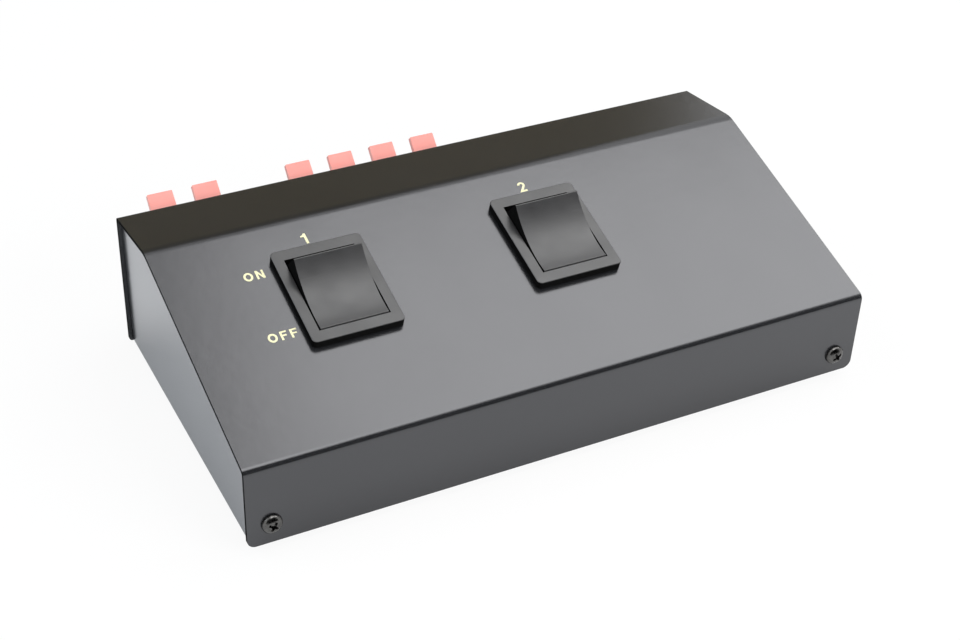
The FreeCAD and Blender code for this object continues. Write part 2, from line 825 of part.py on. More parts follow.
def make_common_terminals(name, centre_x):
    """Saddle plates that carry the blades, each ending in a push-on tab."""
    members = []
    saddle = blade_pivot_z - size("contact_gap")
    shoulder = size("blade_width") / 2 + size("contact_gap")
    outer = shoulder + size("saddle_ear")
    ear_top = saddle + size("saddle_ear_height")
    tab = size("tab_width") / 2
    tab_end = -size("housing_depth") - size("tab_length")
    half = size("tab_thickness") / 2
    outline = [(-tab, tab_end), (tab, tab_end), (tab, floor_z), (outer, floor_z),
               (outer, ear_top), (shoulder, ear_top), (shoulder, saddle), (-shoulder, saddle),
               (-shoulder, ear_top), (-outer, ear_top), (-outer, floor_z), (-tab, floor_z)]
    for side in (-1, 1):
        plate = new_body("%s_%s" % (name, "left" if side < 0 else "right"))
        extrude(plate, "plate", "front", lambda sketch: draw_loop(sketch, outline), -half, half)
        place_in_switch(plate, centre_x + pole_x * side)
        members.append(plate)
    return keep(group(name, members))


def make_throw_terminals(name, centre_x):
    """Angle plates with the fixed contact rivets, each ending in a push-on tab."""
    members = []
    tilt = size("blade_tilt")
    reach, rivet = size("contact_reach"), size("contact_diameter") / 2
    rivet_top = (blade_pivot_z - (reach + rivet) * sine(tilt)
                 - size("contact_height") * cosine(tilt) - size("contact_gap"))
    plate_top = rivet_top - size("contact_height")
    plate_low = plate_top - size("tab_thickness")
    spacing = size("terminal_spacing")
    back, front = -(spacing + size("tab_thickness") / 2), -(spacing - size("tab_thickness") / 2)
    inner = rivet - reach
    tab_end = -size("housing_depth") - size("tab_length")
    outline = [(back, tab_end), (front, tab_end), (front, plate_low), (inner, plate_low),
               (inner, plate_top), (back, plate_top)]
    half = size("tab_width") / 2
    for side in (-1, 1):
        angle = new_body("%s_%s" % (name, "left" if side < 0 else "right"))
        extrude(angle, "angle", "side", lambda sketch: draw_loop(sketch, outline), -half, half)
        extrude(angle, "rivet", "plan", lambda sketch: draw_circle(sketch, 0, -reach, rivet),
                plate_top, rivet_top)
        place_in_switch(angle, centre_x + pole_x * side)
        members.append(angle)
    return keep(group(name, members))


def make_switch(number, centre_x):
    prefix = "switch_%d_" % number
    make_housing(prefix + "housing", centre_x)
    make_rocker(prefix + "rocker", centre_x)
    make_plungers(prefix + "plungers", centre_x)
    make_springs(prefix + "springs", centre_x)
    make_blades(prefix + "contact_blades", centre_x)
    make_common_terminals(prefix + "common_terminals", centre_x)
    make_throw_terminals(prefix + "throw_terminals", centre_x)


# ---- spring terminal blocks ----

def terminal_blocks():
    """Each block's centre along the box and its number of columns."""
    return {"input": (size("input_from_left") - half_width, 2),
            "output": (size("output_from_left") - half_width, 4)}


def ear_hole_x(columns):
    return (size("terminal_pitch") * columns / 2 + size("plate_margin") + size("ear_reach")
            - size("ear_hole_inset"))


def column_places(columns):
    return [size("terminal_pitch") * (column - (columns - 1) / 2) for column in range(columns)]


def make_block(name, centre_x, columns):
    """A moulded block: plate with ears, a raised face for each row, and a body behind the panel."""
    body = new_body(name)
    half = size("terminal_pitch") * columns / 2
    plate = half + size("plate_margin")
    ear = plate + size("ear_reach")
    low, high = size("lower_row"), size("upper_row")
    thickness = size("plate_thickness")
    extrude(body, "plate", "front",
            lambda sketch: draw_box(sketch, (-plate, plate),
                                    (low - size("plate_below"), high + size("plate_above"))),
            0, thickness)
    ear_low, ear_high = (row_middle - size("ear_height") / 2, row_middle + size("ear_height") / 2)
    extrude(body, "ears", "front",
            lambda sketch: draw_box(sketch, (-ear, ear), (ear_low, ear_high)), 0, thickness)
    corners = [edge for x in (-ear, ear) for z in (ear_low, ear_high)
               for edge in find_edges(body, (x, None, z), "Y")]
    soften(body, "ear_corners", "Fillet", size("ear_corner"), corners)
    out = thickness + size("face_depth")

    def faces(sketch):
        for row in rows.values():
            draw_box(sketch, (-half, half), (row - size("face_below"), row + size("face_above")))

    extrude(body, "faces", "front", faces, thickness, out)
    soften(body, "face_bevel", "Chamfer", size("face_bevel"),
           [edge for row in rows.values() for z in (row - size("face_below"), row + size("face_above"))
            for edge in find_edges(body, (None, out, z), "X")])
    body_low = low - size("chamber_below") - size("body_wall")
    body_high = high + size("chamber_above") + size("body_wall")
    extrude(body, "body", "front",
            lambda sketch: draw_box(sketch, (-half, half), (body_low, body_high)),
            -size("body_depth"), 0)
    cut_cells(body, columns, out)
    extrude(body, "ear_holes", "front",
            lambda sketch: [draw_circle(sketch, ear_hole_x(columns) * side, row_middle, shank_hole)
                            for side in (-1, 1)],
            0, thickness, cut=True)
    place(body, centre_x, rear_y, cover_z)
    return keep(body)


def cut_cells(body, columns, out):
    """In each cell a chamber, a lever slot, a wire entry and the lever's hinge seats."""
    def cells(half, low, high):
        def boxes(sketch):
            for row in rows.values():
                for x in column_places(columns):
                    draw_box(sketch, (x - half, x + half), (row + low, row + high))
        return boxes

    slot = size("lever_slot") / 2
    entry_low = -(size("wire_entry_below") + size("wire_entry_height") / 2)
    extrude(body, "chambers", "front",
            cells(slot, -size("chamber_below"), size("chamber_above")),
            -size("body_depth"), size("chamber_front"), cut=True)
    extrude(body, "lever_slots", "front",
            cells(slot, -size("slot_below"), size("face_above")),
            size("chamber_front"), out, cut=True)
    extrude(body, "wire_entries", "front",
            cells(size("wire_entry_width") / 2, entry_low, entry_low + size("wire_entry_height")),
            size("chamber_front"), out, cut=True)
    reach = size("terminal_pitch") * (columns - 1) / 2 + slot + size("hinge_seat")

    def seats(sketch):
        for row in rows.values():
            draw_circle(sketch, size("hinge_out"), row,
                        size("hinge_radius") + size("hinge_clearance"))

    extrude(body, "hinge_seats", "side", seats, -reach, reach, cut=True)


def make_lever(name, x, row):
    """A push lever: tapered tab, hub with two hinge pins, and the arm that bends the clip."""
    body = new_body(name)
    base_x, tip_x = size("lever_base_width") / 2, size("lever_tip_width") / 2
    length = size("lever_length")
    base_y, tip_y = size("lever_base_thickness") / 2, size("lever_tip_thickness") / 2
    side = [(-base_y, 0), (base_y, 0), (tip_y, length), (-tip_y, length)]
    extrude(body, "tab", "side", lambda sketch: draw_loop(sketch, side), -base_x, base_x)
    for hand, sign in (("left", -1), ("right", 1)):
        wedge = [(base_x * sign, 0), (base_x * sign, length), (tip_x * sign, length)]
        extrude(body, hand + "_taper", "front",
                lambda sketch, wedge=wedge: draw_loop(sketch, wedge), -base_y, base_y, cut=True)
    corners = [edge for sign in (-1, 1)
               for edge in find_edges(body, (tip_x * sign, None, length), "Y")]
    soften(body, "tip_corners", "Fillet", size("lever_corner"), corners)
    extrude(body, "hub", "side", lambda sketch: draw_circle(sketch, 0, 0, size("hub_radius")),
            -base_x, base_x)
    arm = size("arm_thickness") / 2
    extrude(body, "arm", "side",
            lambda sketch: draw_box(sketch, (-arm, arm), (-size("arm_length"), 0)),
            -base_x, base_x)
    pin = size("lever_slot") / 2 + size("hinge_pin")
    extrude(body, "hinge_pins", "side",
            lambda sketch: draw_circle(sketch, 0, 0, size("hinge_radius")), -pin, pin)
    place(body, x, rear_y + size("hinge_out"), cover_z + row, -size("lever_angle"))
    return keep(body)


def make_clips(name, centre_x, columns):
    """Bent clip springs, one in each chamber, that press the bare wire on its strip."""
    half = size("clip_width") / 2
    thickness = size("clip_thickness")
    top = size("chamber_above") - size("clip_gap")
    toe = strip_top + size("clip_gap")
    back, knee, foot = size("clip_back"), size("clip_knee"), size("clip_toe")
    outline = [(-back, top - thickness), (-knee - thickness, top - thickness),
               (-foot - thickness, toe), (-foot, toe), (-knee, top), (-back, top)]
    members = []
    for colour, row in rows.items():
        for number, x in enumerate(column_places(columns), start=1):
            clip = new_body("%s_%s_%d" % (name, colour, number))
            extrude(clip, "leaf", "side", lambda sketch: draw_loop(sketch, outline), -half, half)
            place(clip, centre_x + x, rear_y, cover_z + row)
            members.append(clip)
    return keep(group(name, members))


def make_strips(name, centre_x, columns):
    """Contact strips on the chambers' floors, each with a solder lug behind the block."""
    half = size("strip_width") / 2
    low = -size("chamber_below")
    members = []
    for colour, row in rows.items():
        for number, x in enumerate(column_places(columns), start=1):
            strip = new_body("%s_%s_%d" % (name, colour, number))
            extrude(strip, "strip", "plan",
                    lambda sketch: draw_box(sketch, (-half, half),
                                            (-size("lug_reach"), -size("strip_front"))),
                    low, strip_top)
            extrude(strip, "lug_hole", "plan",
                    lambda sketch: draw_circle(sketch, 0, size("lug_hole_inset") - size("lug_reach"),
                                               size("lug_hole") / 2),
                    low, strip_top, cut=True)
            place(strip, centre_x + x, rear_y, cover_z + row)
            members.append(strip)
    return keep(group(name, members))


def make_terminals():
    for name, (centre_x, columns) in terminal_blocks().items():
        make_block(name + "_terminal_block", centre_x, columns)
        for colour, row in rows.items():
            for number, x in enumerate(column_places(columns), start=1):
                make_lever("%s_%s_lever_%d" % (name, colour, number), centre_x + x, row)
        make_clips(name + "_clip_springs", centre_x, columns)
        make_strips(name + "_contact_strips", centre_x, columns)


def check_document():
    """Every object has recomputed, and every piece is a valid solid or group of solids."""
    doc.recompute()
    for item in doc.Objects:
        if "Invalid" in item.State or "Error" in item.State:
            raise ValueError("%s did not recompute: %s" % (item.Name, item.State))
    for piece in pieces:
        shape = piece.Shape
        if shape.isNull() or not shape.isValid() or not shape.Solids:
            raise ValueError("%s has no valid solid" % piece.Label)


def write_pieces():
    os.makedirs("parts", exist_ok=True)
    for piece in pieces:
        piece.Shape.exportStep("parts/%s.step" % piece.Label)


make_cover()
make_tray()
make_feet()
make_screws()
for switch_number, switch_x in enumerate(switch_centres(), start=1):
    make_switch(switch_number, switch_x)
make_terminals()
check_document()
write_pieces()
print("%d pieces written" % len(pieces))
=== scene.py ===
"""Finishes a packed two-way speaker selector: paint, mouldings, screws, springs and legends.

Everything is in metres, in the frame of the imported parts: X along the box, Y from front to back
and Z up.
"""

import json
import math

import bmesh
import bpy
from mathutils import Matrix, Vector

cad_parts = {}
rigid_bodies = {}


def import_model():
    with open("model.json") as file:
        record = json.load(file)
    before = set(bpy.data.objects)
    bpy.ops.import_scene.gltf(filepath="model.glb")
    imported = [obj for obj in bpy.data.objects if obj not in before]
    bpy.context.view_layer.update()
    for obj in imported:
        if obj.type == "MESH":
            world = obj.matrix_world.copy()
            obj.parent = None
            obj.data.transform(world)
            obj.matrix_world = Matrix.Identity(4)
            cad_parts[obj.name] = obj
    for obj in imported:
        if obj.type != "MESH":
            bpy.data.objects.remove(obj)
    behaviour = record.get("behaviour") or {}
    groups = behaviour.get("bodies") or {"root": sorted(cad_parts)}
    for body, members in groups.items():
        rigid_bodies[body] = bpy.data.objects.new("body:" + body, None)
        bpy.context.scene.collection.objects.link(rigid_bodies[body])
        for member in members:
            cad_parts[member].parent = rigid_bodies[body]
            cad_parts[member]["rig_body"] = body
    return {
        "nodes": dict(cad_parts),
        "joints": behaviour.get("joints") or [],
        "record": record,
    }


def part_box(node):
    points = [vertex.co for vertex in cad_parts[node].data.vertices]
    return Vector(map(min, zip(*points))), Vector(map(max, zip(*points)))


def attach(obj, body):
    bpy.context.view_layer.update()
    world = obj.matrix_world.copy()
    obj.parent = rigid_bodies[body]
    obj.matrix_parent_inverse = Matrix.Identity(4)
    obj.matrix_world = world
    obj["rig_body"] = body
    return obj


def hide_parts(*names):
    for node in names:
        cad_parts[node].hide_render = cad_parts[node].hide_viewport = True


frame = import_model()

bl_info = {
    "name": "Speaker Selector Finishes",
    "version": (1, 0, 0),
    "blender": (4, 5, 0),
    "location": "3D View > Sidebar > Selector",
    "description": "Finishes the casing, switches and spring terminals of a speaker selector box",
    "category": "Object",
}

MM = 0.001
SWITCHES = ("switch_1", "switch_2")
BLOCKS = ("input", "output")
ALONG, BACK, UP = Vector((1, 0, 0)), Vector((0, 1, 0)), Vector((0, 0, 1))
MERGE = 0.001 * MM  # corners nearer than this are one corner
FLAT = math.radians(0.4)  # faces that turn by less than this are one face
SHARP = math.radians(30)  # edges that turn by more than this get a round
# A piece's second finish is the dull near-black one: painted shade on sides and rounds, partly real
# on the cover's cut edges.
DULL_SHADE = 1  # the number of a piece's second finish
SLOTS = {part["node"]: part["material_slot"] for part in frame["record"]["subparts"]}
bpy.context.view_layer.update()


# ---- shapes read from the frame ----

def mesh_of(node):
    """A node's mesh to work on, with its doubled corners merged."""
    mesh = bmesh.new()
    mesh.from_mesh(frame["nodes"][node].data)
    bmesh.ops.remove_doubles(mesh, verts=mesh.verts, dist=MERGE)
    return mesh


def islands(node):
    """The loose pieces of a node: a list of their corner points."""
    mesh = mesh_of(node)
    found = []
    seen = set()
    for start in mesh.verts:
        if start in seen:
            continue
        seen.add(start)
        waiting, points = [start], []
        while waiting:
            corner = waiting.pop()
            points.append(corner.co.copy())
            for edge in corner.link_edges:
                other = edge.other_vert(corner)
                if other not in seen:
                    seen.add(other)
                    waiting.append(other)
        found.append(points)
    mesh.free()
    return found


def span(points, axis):
    """The lowest and highest place of some points along an axis."""
    along = [point.dot(axis) for point in points]
    return min(along), max(along)


def middle(points):
    """The centre of the box round some points."""
    ends = [span(points, axis) for axis in (ALONG, BACK, UP)]
    return Vector([(low + high) / 2 for low, high in ends])


def places_along(*nodes):
    """The places along the box at which the loose pieces of some nodes stand."""
    return sorted({round(middle(points).x, 6) for node in nodes for points in islands(node)})


def panel_frame():
    """The sloping panel's frame: front left corner, X along it, Y up it and Z out of it."""
    areas = {}
    for face in frame["nodes"]["top_cover"].data.polygons:
        if face.normal.z > 0.5 and face.normal.y < -0.1:
            key = tuple(round(part, 3) for part in face.normal)
            area, _, _ = areas.get(key, (0, None, None))
            areas[key] = (area + face.area, face.normal.copy(), face.center.copy())
    _, out, place = max(areas.values(), key=lambda entry: entry[0])
    up = out.cross(ALONG)
    low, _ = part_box("top_cover")
    corner = place + up * ((low.y - place.y) / up.y)
    corner.x = low.x
    turn = Matrix((ALONG, up, out)).transposed().to_4x4()
    return Matrix.Translation(corner) @ turn


def panel_slope():
    """The sloping panel's angle to the floor."""
    return math.atan2(*(-panel_frame().col[2].yz))


# ---- mesh helpers ----

def new_piece(name, mesh, material, body, slot, *replaced):
    """Turn a bmesh into a piece that rides on a body and stands for some nodes."""
    data = bpy.data.meshes.new(name)
    mesh.to_mesh(data)
    mesh.free()
    data.materials.append(material)
    piece = bpy.data.objects.new(name, data)
    bpy.context.scene.collection.objects.link(piece)
    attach(piece, body)
    if replaced:
        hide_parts(*replaced)
    return piece


def body_of_node(node):
    """The body that a node rides on."""
    return frame["nodes"][node]["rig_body"]


def use_material(node, material):
    """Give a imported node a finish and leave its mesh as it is."""
    data = frame["nodes"][node].data
    data.materials.clear()
    data.materials.append(material)


def join(target, part):
    """Move one bmesh into another."""
    holder = bpy.data.meshes.new("holder")
    part.to_mesh(holder)
    part.free()
    target.from_mesh(holder)
    bpy.data.meshes.remove(holder)


def sharpen(mesh, angle):
    """Shade everything smooth except edges that turn by more than an angle."""
    for face in mesh.faces:
        face.smooth = True
    for edge in mesh.edges:
        if len(edge.link_faces) == 2:
            edge.smooth = edge.calc_face_angle(0) < angle
        else:
            edge.smooth = False


def broken_edges(node, name, edge, material, holes=(), round_finish=-1):
    """A copy of a node with its sharp edges broken by a small round, standing for the node.

    Its flat faces are divided along the box where it has holes, so that no face runs round one.
    The rounds keep the finish beside them, or take the piece's finish of a given number.
    """
    mesh = mesh_of(node)
    for place in holes:
        cut = bmesh.ops.bisect_plane(mesh, geom=mesh.verts[:] + mesh.edges[:] + mesh.faces[:],
                                     dist=MERGE / 10, plane_co=(place, 0, 0), plane_no=ALONG)
        for item in cut["geom_cut"]:
            if isinstance(item, bmesh.types.BMEdge):
                item.seam = True
    bmesh.ops.dissolve_limit(mesh, angle_limit=FLAT, verts=mesh.verts, edges=mesh.edges,
                             delimit={"SEAM"})
    sharpen(mesh, SHARP)
    piece = new_piece(name, mesh, material, body_of_node(node), SLOTS[node], node)
    bevel = piece.modifiers.new("broken edges", "BEVEL")
    bevel.width = edge
    bevel.segments = 2
    bevel.limit_method = "ANGLE"
    bevel.angle_limit = SHARP
    bevel.harden_normals = True
    bevel.material = round_finish
    bevel.miter_outer = "MITER_ARC"
    weighted = piece.modifiers.new("even normals", "WEIGHTED_NORMAL")
    weighted.keep_sharp = True
    return piece


def skin(mesh, rings):
    """Join rings of corners by faces and close both ends; an end may be a single corner."""
    for lower, upper in zip(rings, rings[1:]):
        around = max(len(lower), len(upper))
        for step in range(around):
            after = (step + 1) % around
            if len(lower) == 1:
                mesh.faces.new((lower[0], upper[after], upper[step]))
            elif len(upper) == 1:
                mesh.faces.new((lower[step], lower[after], upper[0]))
            else:
                mesh.faces.new((lower[step], lower[after], upper[after], upper[step]))
    for end in (rings[0], rings[-1][::-1]):
        if len(end) > 1:
            mesh.faces.new(end)


def ring_at(mesh, radii, height):
    """A ring of corners round Z at a height, with one corner for each radius."""
    ring = []
    for step, radius in enumerate(radii):
        angle = math.tau * step / len(radii)
        corner = (radius * math.cos(angle), radius * math.sin(angle), height)
        ring.append(mesh.verts.new(corner))
    return ring


def lathe(mesh, profile, turns=48):
    """Revolve a profile of (radius, height) pairs round Z; a radius of 0 makes a pole."""
    rings = [ring_at(mesh, [radius] * (turns if radius else 1), height)
             for radius, height in profile]
    skin(mesh, rings)
    bmesh.ops.recalc_face_normals(mesh, faces=mesh.faces)


def helix_tube(mesh, radius, wire, length, coils, place):
    """A round wire wound into a coil along Z, with its ends closed, set at a place."""
    around, steps_per_turn = 10, 20
    steps = int(coils * steps_per_turn)
    rings = []
    for step in range(steps + 1):
        share = step / steps
        angle = math.tau * coils * share
        out = Vector((math.cos(angle), math.sin(angle), 0))
        centre = out * radius + Vector((0, 0, wire + (length - 2 * wire) * share))
        ring = []
        for corner in range(around):
            turn = math.tau * corner / around
            point = centre + out * (wire * math.cos(turn)) + Vector((0, 0, wire * math.sin(turn)))
            ring.append(mesh.verts.new(place @ point))
        rings.append(ring)
    skin(mesh, rings)


def carve(target, cutter):
    """Take one mesh out of another with an exact boolean and give the result back as a bmesh."""
    objects = []
    for name, mesh in (("carved", target), ("cutter", cutter)):
        data = bpy.data.meshes.new(name)
        mesh.to_mesh(data)
        mesh.free()
        item = bpy.data.objects.new(name, data)
        bpy.context.scene.collection.objects.link(item)
        objects.append(item)
    carved, tool = objects
    cut = carved.modifiers.new("cut", "BOOLEAN")
    cut.operation = "DIFFERENCE"
    cut.solver = "EXACT"
    cut.object = tool
    graph = bpy.context.evaluated_depsgraph_get()
    shaped = bpy.data.meshes.new_from_object(carved.evaluated_get(graph))
    result = bmesh.new()
    result.from_mesh(shaped)
    for item in objects:
        bpy.data.objects.remove(item)
    bpy.data.meshes.remove(shaped)
    return result


# ---- material helpers ----

class Finish:
    """A node material under construction, on the piece's own coordinates."""

    def __init__(self, name):
        self.material = bpy.data.materials.new(name)
        self.material.use_nodes = True
        self.tree = self.material.node_tree
        self.shader = self.tree.nodes["Principled BSDF"]
        self.place = self.tree.nodes.new("ShaderNodeTexCoord").outputs["Object"]

    def link(self, output, socket):
        self.tree.links.new(output, socket)

    def noise(self, scale, detail=3, stretch=(1, 1, 1)):
        """Noise whose scale is in cells a metre."""
        mapping = self.tree.nodes.new("ShaderNodeMapping")
        mapping.inputs["Scale"].default_value = stretch
        self.link(self.place, mapping.inputs["Vector"])
        node = self.tree.nodes.new("ShaderNodeTexNoise")
        node.inputs["Scale"].default_value = scale
        node.inputs["Detail"].default_value = detail
        self.link(mapping.outputs["Vector"], node.inputs["Vector"])
        return node.outputs["Fac"]

    def spread(self, factor, low, high, start=0.3, stop=0.7):
        """Map a factor's middle range to a range of values."""
        node = self.tree.nodes.new("ShaderNodeMapRange")
        node.inputs["From Min"].default_value = start
        node.inputs["From Max"].default_value = stop
        node.inputs["To Min"].default_value = low
        node.inputs["To Max"].default_value = high
        self.link(factor, node.inputs["Value"])
        return node.outputs["Result"]

    def tint(self, factor, first, second):
        """A colour between two, led by a factor."""
        node = self.tree.nodes.new("ShaderNodeMix")
        node.data_type = "RGBA"
        node.inputs["A"].default_value = (*first, 1)
        node.inputs["B"].default_value = (*second, 1)
        self.link(factor, node.inputs["Factor"])
        return node.outputs["Result"]

    def bump(self, height, depth, below=None):
        """Bump of a depth in metres, on top of another bump."""
        node = self.tree.nodes.new("ShaderNodeBump")
        node.inputs["Distance"].default_value = depth
        self.link(height, node.inputs["Height"])
        if below is not None:
            self.link(below, node.inputs["Normal"])
        return node.outputs["Normal"]

    def colour(self, output):
        self.link(output, self.shader.inputs["Base Color"])

    def roughness(self, output):
        self.link(output, self.shader.inputs["Roughness"])

    def normal(self, output):
        self.link(output, self.shader.inputs["Normal"])

    def constant(self, **values):
        """Set the shader's own values: ior=1.5 sets the socket IOR."""
        for label, value in values.items():
            socket = label.replace("_", " ").title().replace("Ior", "IOR")
            self.shader.inputs[socket].default_value = value


def shade(colour, amount):
    """A colour made lighter or darker by a share."""
    return tuple(min(1, part * amount) for part in colour)


def paint_finish(name, colour, gloss, density, tint, lacquer=0.0):
    """Baked black paint: fine grain, slight orange peel, and patches that shine a little less."""
    finish = Finish(name)
    finish.constant(ior=density, specular_tint=(*tint, 1), coat_weight=lacquer,
                    coat_roughness=gloss)
    cloud = finish.noise(18, 4)
    grain = finish.bump(finish.noise(2600, 2), 0.004 * MM)
    finish.colour(finish.tint(cloud, shade(colour, 0.85), shade(colour, 1.15)))
    finish.roughness(finish.spread(finish.noise(45, 5), gloss - 0.012, gloss + 0.018))
    finish.normal(finish.bump(finish.noise(320, 2), 0.02 * MM, grain))
    return finish.material


def dull_shade_finish(name, colour):
    """A near-black finish that hardly shines, speckled and coarse-grained: painted shade on sides
    and rounds, and on the cover's cut edges partly their real thin coat.
    """
    finish = Finish(name)
    # No specular reflection at all, so these faces read black: painted shade.
    finish.constant(specular_ior_level=0)
    finish.colour(finish.tint(finish.noise(900, 4), shade(colour, 0.7), shade(colour, 1.4)))
    finish.roughness(finish.spread(finish.noise(500, 3), 0.6, 0.75))
    finish.normal(finish.bump(finish.noise(2600, 2), 0.01 * MM))
    return finish.material


def sideways(normal):
    """Whether a face looks along the box."""
    return abs(normal.x) > 0.9


def shade_faces(piece, finish, is_shaded):
    """Give those of a piece's faces whose normals pass a test a finish of their own: the dull one
    that paints shade on them.
    """
    piece.data.materials.append(finish)
    for face in piece.data.polygons:
        if is_shaded(face.normal):
            face.material_index = DULL_SHADE


def handled_finish(name, colour, gloss, grain, density=1.63):
    """Moulded plastic that fingers press: spark texture, smudges and a few fine scratches."""
    finish = Finish(name)
    finish.constant(ior=density)
    smudge = finish.noise(160, 5)
    finish.colour(finish.tint(smudge, shade(colour, 0.8), shade(colour, 1.25)))
    along = finish.spread(finish.noise(700, 2, (0.04, 1, 1)), 0, 1, 0.64, 0.7)
    across = finish.spread(finish.noise(600, 2, (1, 0.05, 0.05)), 0, 1, 0.66, 0.72)
    finish.roughness(finish.spread(smudge, gloss - 0.07, gloss + 0.08))
    texture = finish.bump(finish.noise(2600, 2), grain)
    scratch = -0.004 * MM
    finish.normal(finish.bump(across, scratch, finish.bump(along, scratch, texture)))
    return finish.material


def plastic_finish(name, colour, gloss, grain, density=1.55):
    """Moulded plastic: a fine spark texture, and a faint drift in shade and shine."""
    finish = Finish(name)
    finish.constant(ior=density)
    cloud = finish.noise(60, 4)
    finish.colour(finish.tint(cloud, shade(colour, 0.88), shade(colour, 1.12)))
    finish.roughness(finish.spread(finish.noise(150, 4), gloss - 0.05, gloss + 0.06))
    finish.normal(finish.bump(finish.noise(3200, 2), grain))
    return finish.material


def clear_plastic_finish(name, colour, gloss):
    """Coloured plastic with a little light under its skin."""
    finish = Finish(name)
    finish.colour(finish.tint(finish.noise(120, 3), shade(colour, 0.92), shade(colour, 1.05)))
    finish.roughness(finish.spread(finish.noise(300, 3), gloss - 0.05, gloss + 0.07))
    finish.normal(finish.bump(finish.noise(900, 2), 0.01 * MM))
    finish.constant(subsurface_weight=0.25, subsurface_scale=1.5 * MM)
    finish.shader.inputs["Subsurface Radius"].default_value = (1.0, 0.35, 0.3)
    return finish.material


def metal_finish(name, colour, gloss, scale, stretch=(1, 1, 1)):
    """Bare sheet metal with fine rolling marks and dull patches."""
    finish = Finish(name)
    marks = finish.noise(scale, 3, stretch)
    finish.colour(finish.tint(finish.noise(200, 4), shade(colour, 0.8), shade(colour, 1.05)))
    finish.roughness(finish.spread(marks, gloss - 0.06, gloss + 0.12))
    finish.normal(finish.bump(marks, 0.004 * MM))
    finish.constant(metallic=1.0)
    return finish.material


def blackened_finish(name, colour, gloss):
    """Blackened steel: dark and oily, with worn lighter spots."""
    finish = Finish(name)
    finish.colour(finish.tint(finish.spread(finish.noise(900, 5), 0, 1, 0.45, 0.75),
                              colour, shade(colour, 1.5)))
    finish.roughness(finish.spread(finish.noise(1400, 3), gloss - 0.06, gloss + 0.12))
    finish.normal(finish.bump(finish.noise(2200, 2), 0.006 * MM))
    finish.constant(metallic=1.0)
    return finish.material


def rubber_finish(name, colour):
    """Dull rubber with a dusty bloom."""
    finish = Finish(name)
    finish.colour(finish.tint(finish.spread(finish.noise(400, 5), 0, 1, 0.4, 0.7),
                              colour, shade(colour, 1.8)))
    finish.roughness(finish.spread(finish.noise(700, 3), 0.72, 0.9))
    finish.normal(finish.bump(finish.noise(2400, 2), 0.02 * MM))
    return finish.material


def ink_finish(name, colour):
    """Screen-printed ink: nearly even, a little thin in places."""
    finish = Finish(name)
    finish.colour(finish.tint(finish.spread(finish.noise(2500, 4), 0, 1, 0.25, 0.6),
                              shade(colour, 0.86), colour))
    finish.roughness(finish.spread(finish.noise(1800, 2), 0.45, 0.6))
    finish.normal(finish.bump(finish.noise(3000, 2), 0.004 * MM))
    return finish.material


# ---- settings ----

def setting(name, description, default, **kind):
    return bpy.props.FloatProperty(name=name, description=description, default=default, **kind)


def length(name, description, millimetres):
    return setting(name, description, millimetres * MM, unit="LENGTH", precision=5)


def angle_of(name, description, degrees):
    return setting(name, description, math.radians(degrees), subtype="ANGLE")


def number(name, description, value, unit="NONE"):
    return setting(name, description, value, min=1, unit=unit)


def shade_of(name, description, colour):
    return bpy.props.FloatVectorProperty(name=name, description=description, default=colour,
                                         subtype="COLOR", size=3, min=0, max=1)


def share(name, description, value):
    return setting(name, description, value, min=0, max=1, subtype="FACTOR")


def light_power(name, description, watts):
    return setting(name, description, watts, min=0, unit="POWER")


class CasingSettings(bpy.types.PropertyGroup):
    edge: length("Edge", "Round on the sheet metal's cut edges", 0.3)
    paint: shade_of("Paint", "Colour of the cover's and tray's paint", (0.013, 0.0135, 0.015))
    # The cut edges' dull near-black finish is partly their real thin coat and partly painted shade
    # of the gap under the cover's edge.
    cut: shade_of("Cut edge", "Colour of the sheet's thinly coated cut edges",
                  (0.012, 0.012, 0.012))
    cover_gloss: share("Cover roughness", "How softly the cover's paint reflects", 0.22)
    cover_density: number("Cover density", "Refractive index of the cover's paint", 1.75)
    tray_density: number("Tray density", "Refractive index of the tray's paint", 2.3)
    tray_gloss: share("Tray roughness", "How softly the tray's paint reflects", 0.22)
    tray_lacquer: share("Tray lacquer", "Weight of the clear coat on the tray's paint", 1.0)
    cover_shine: shade_of("Cover shine", "Tint of the cover's reflections", (0.96, 0.965, 1.0))
    tray_shine: shade_of("Tray shine", "Tint of the tray's reflections", (0.8, 0.87, 1.0))
    rubber: shade_of("Rubber", "Colour of the feet", (0.018, 0.018, 0.018))
    foot_round: length("Foot round", "Round on the rim that the feet stand on", 0.6)
    foot_hole: length("Foot hole", "Diameter of the moulded hole in each foot", 3.4)


class ScrewSettings(bpy.types.PropertyGroup):
    steel: shade_of("Steel", "Colour of the blackened screws", (0.10, 0.098, 0.095))
    gloss: share("Roughness", "How softly the screws reflect", 0.2)
    recess_width: length("Recess width", "Width of the cross recess from wing to wing", 3.5)
    recess_wing: length("Recess wing", "Thickness of each wing of the recess", 0.8)
    recess_depth: length("Recess depth", "Depth of the cross recess", 1.3)
    thread_pitch: length("Thread pitch", "Distance between the thread's turns", 0.5)
    thread_depth: length("Thread depth", "Depth of the thread", 0.25)


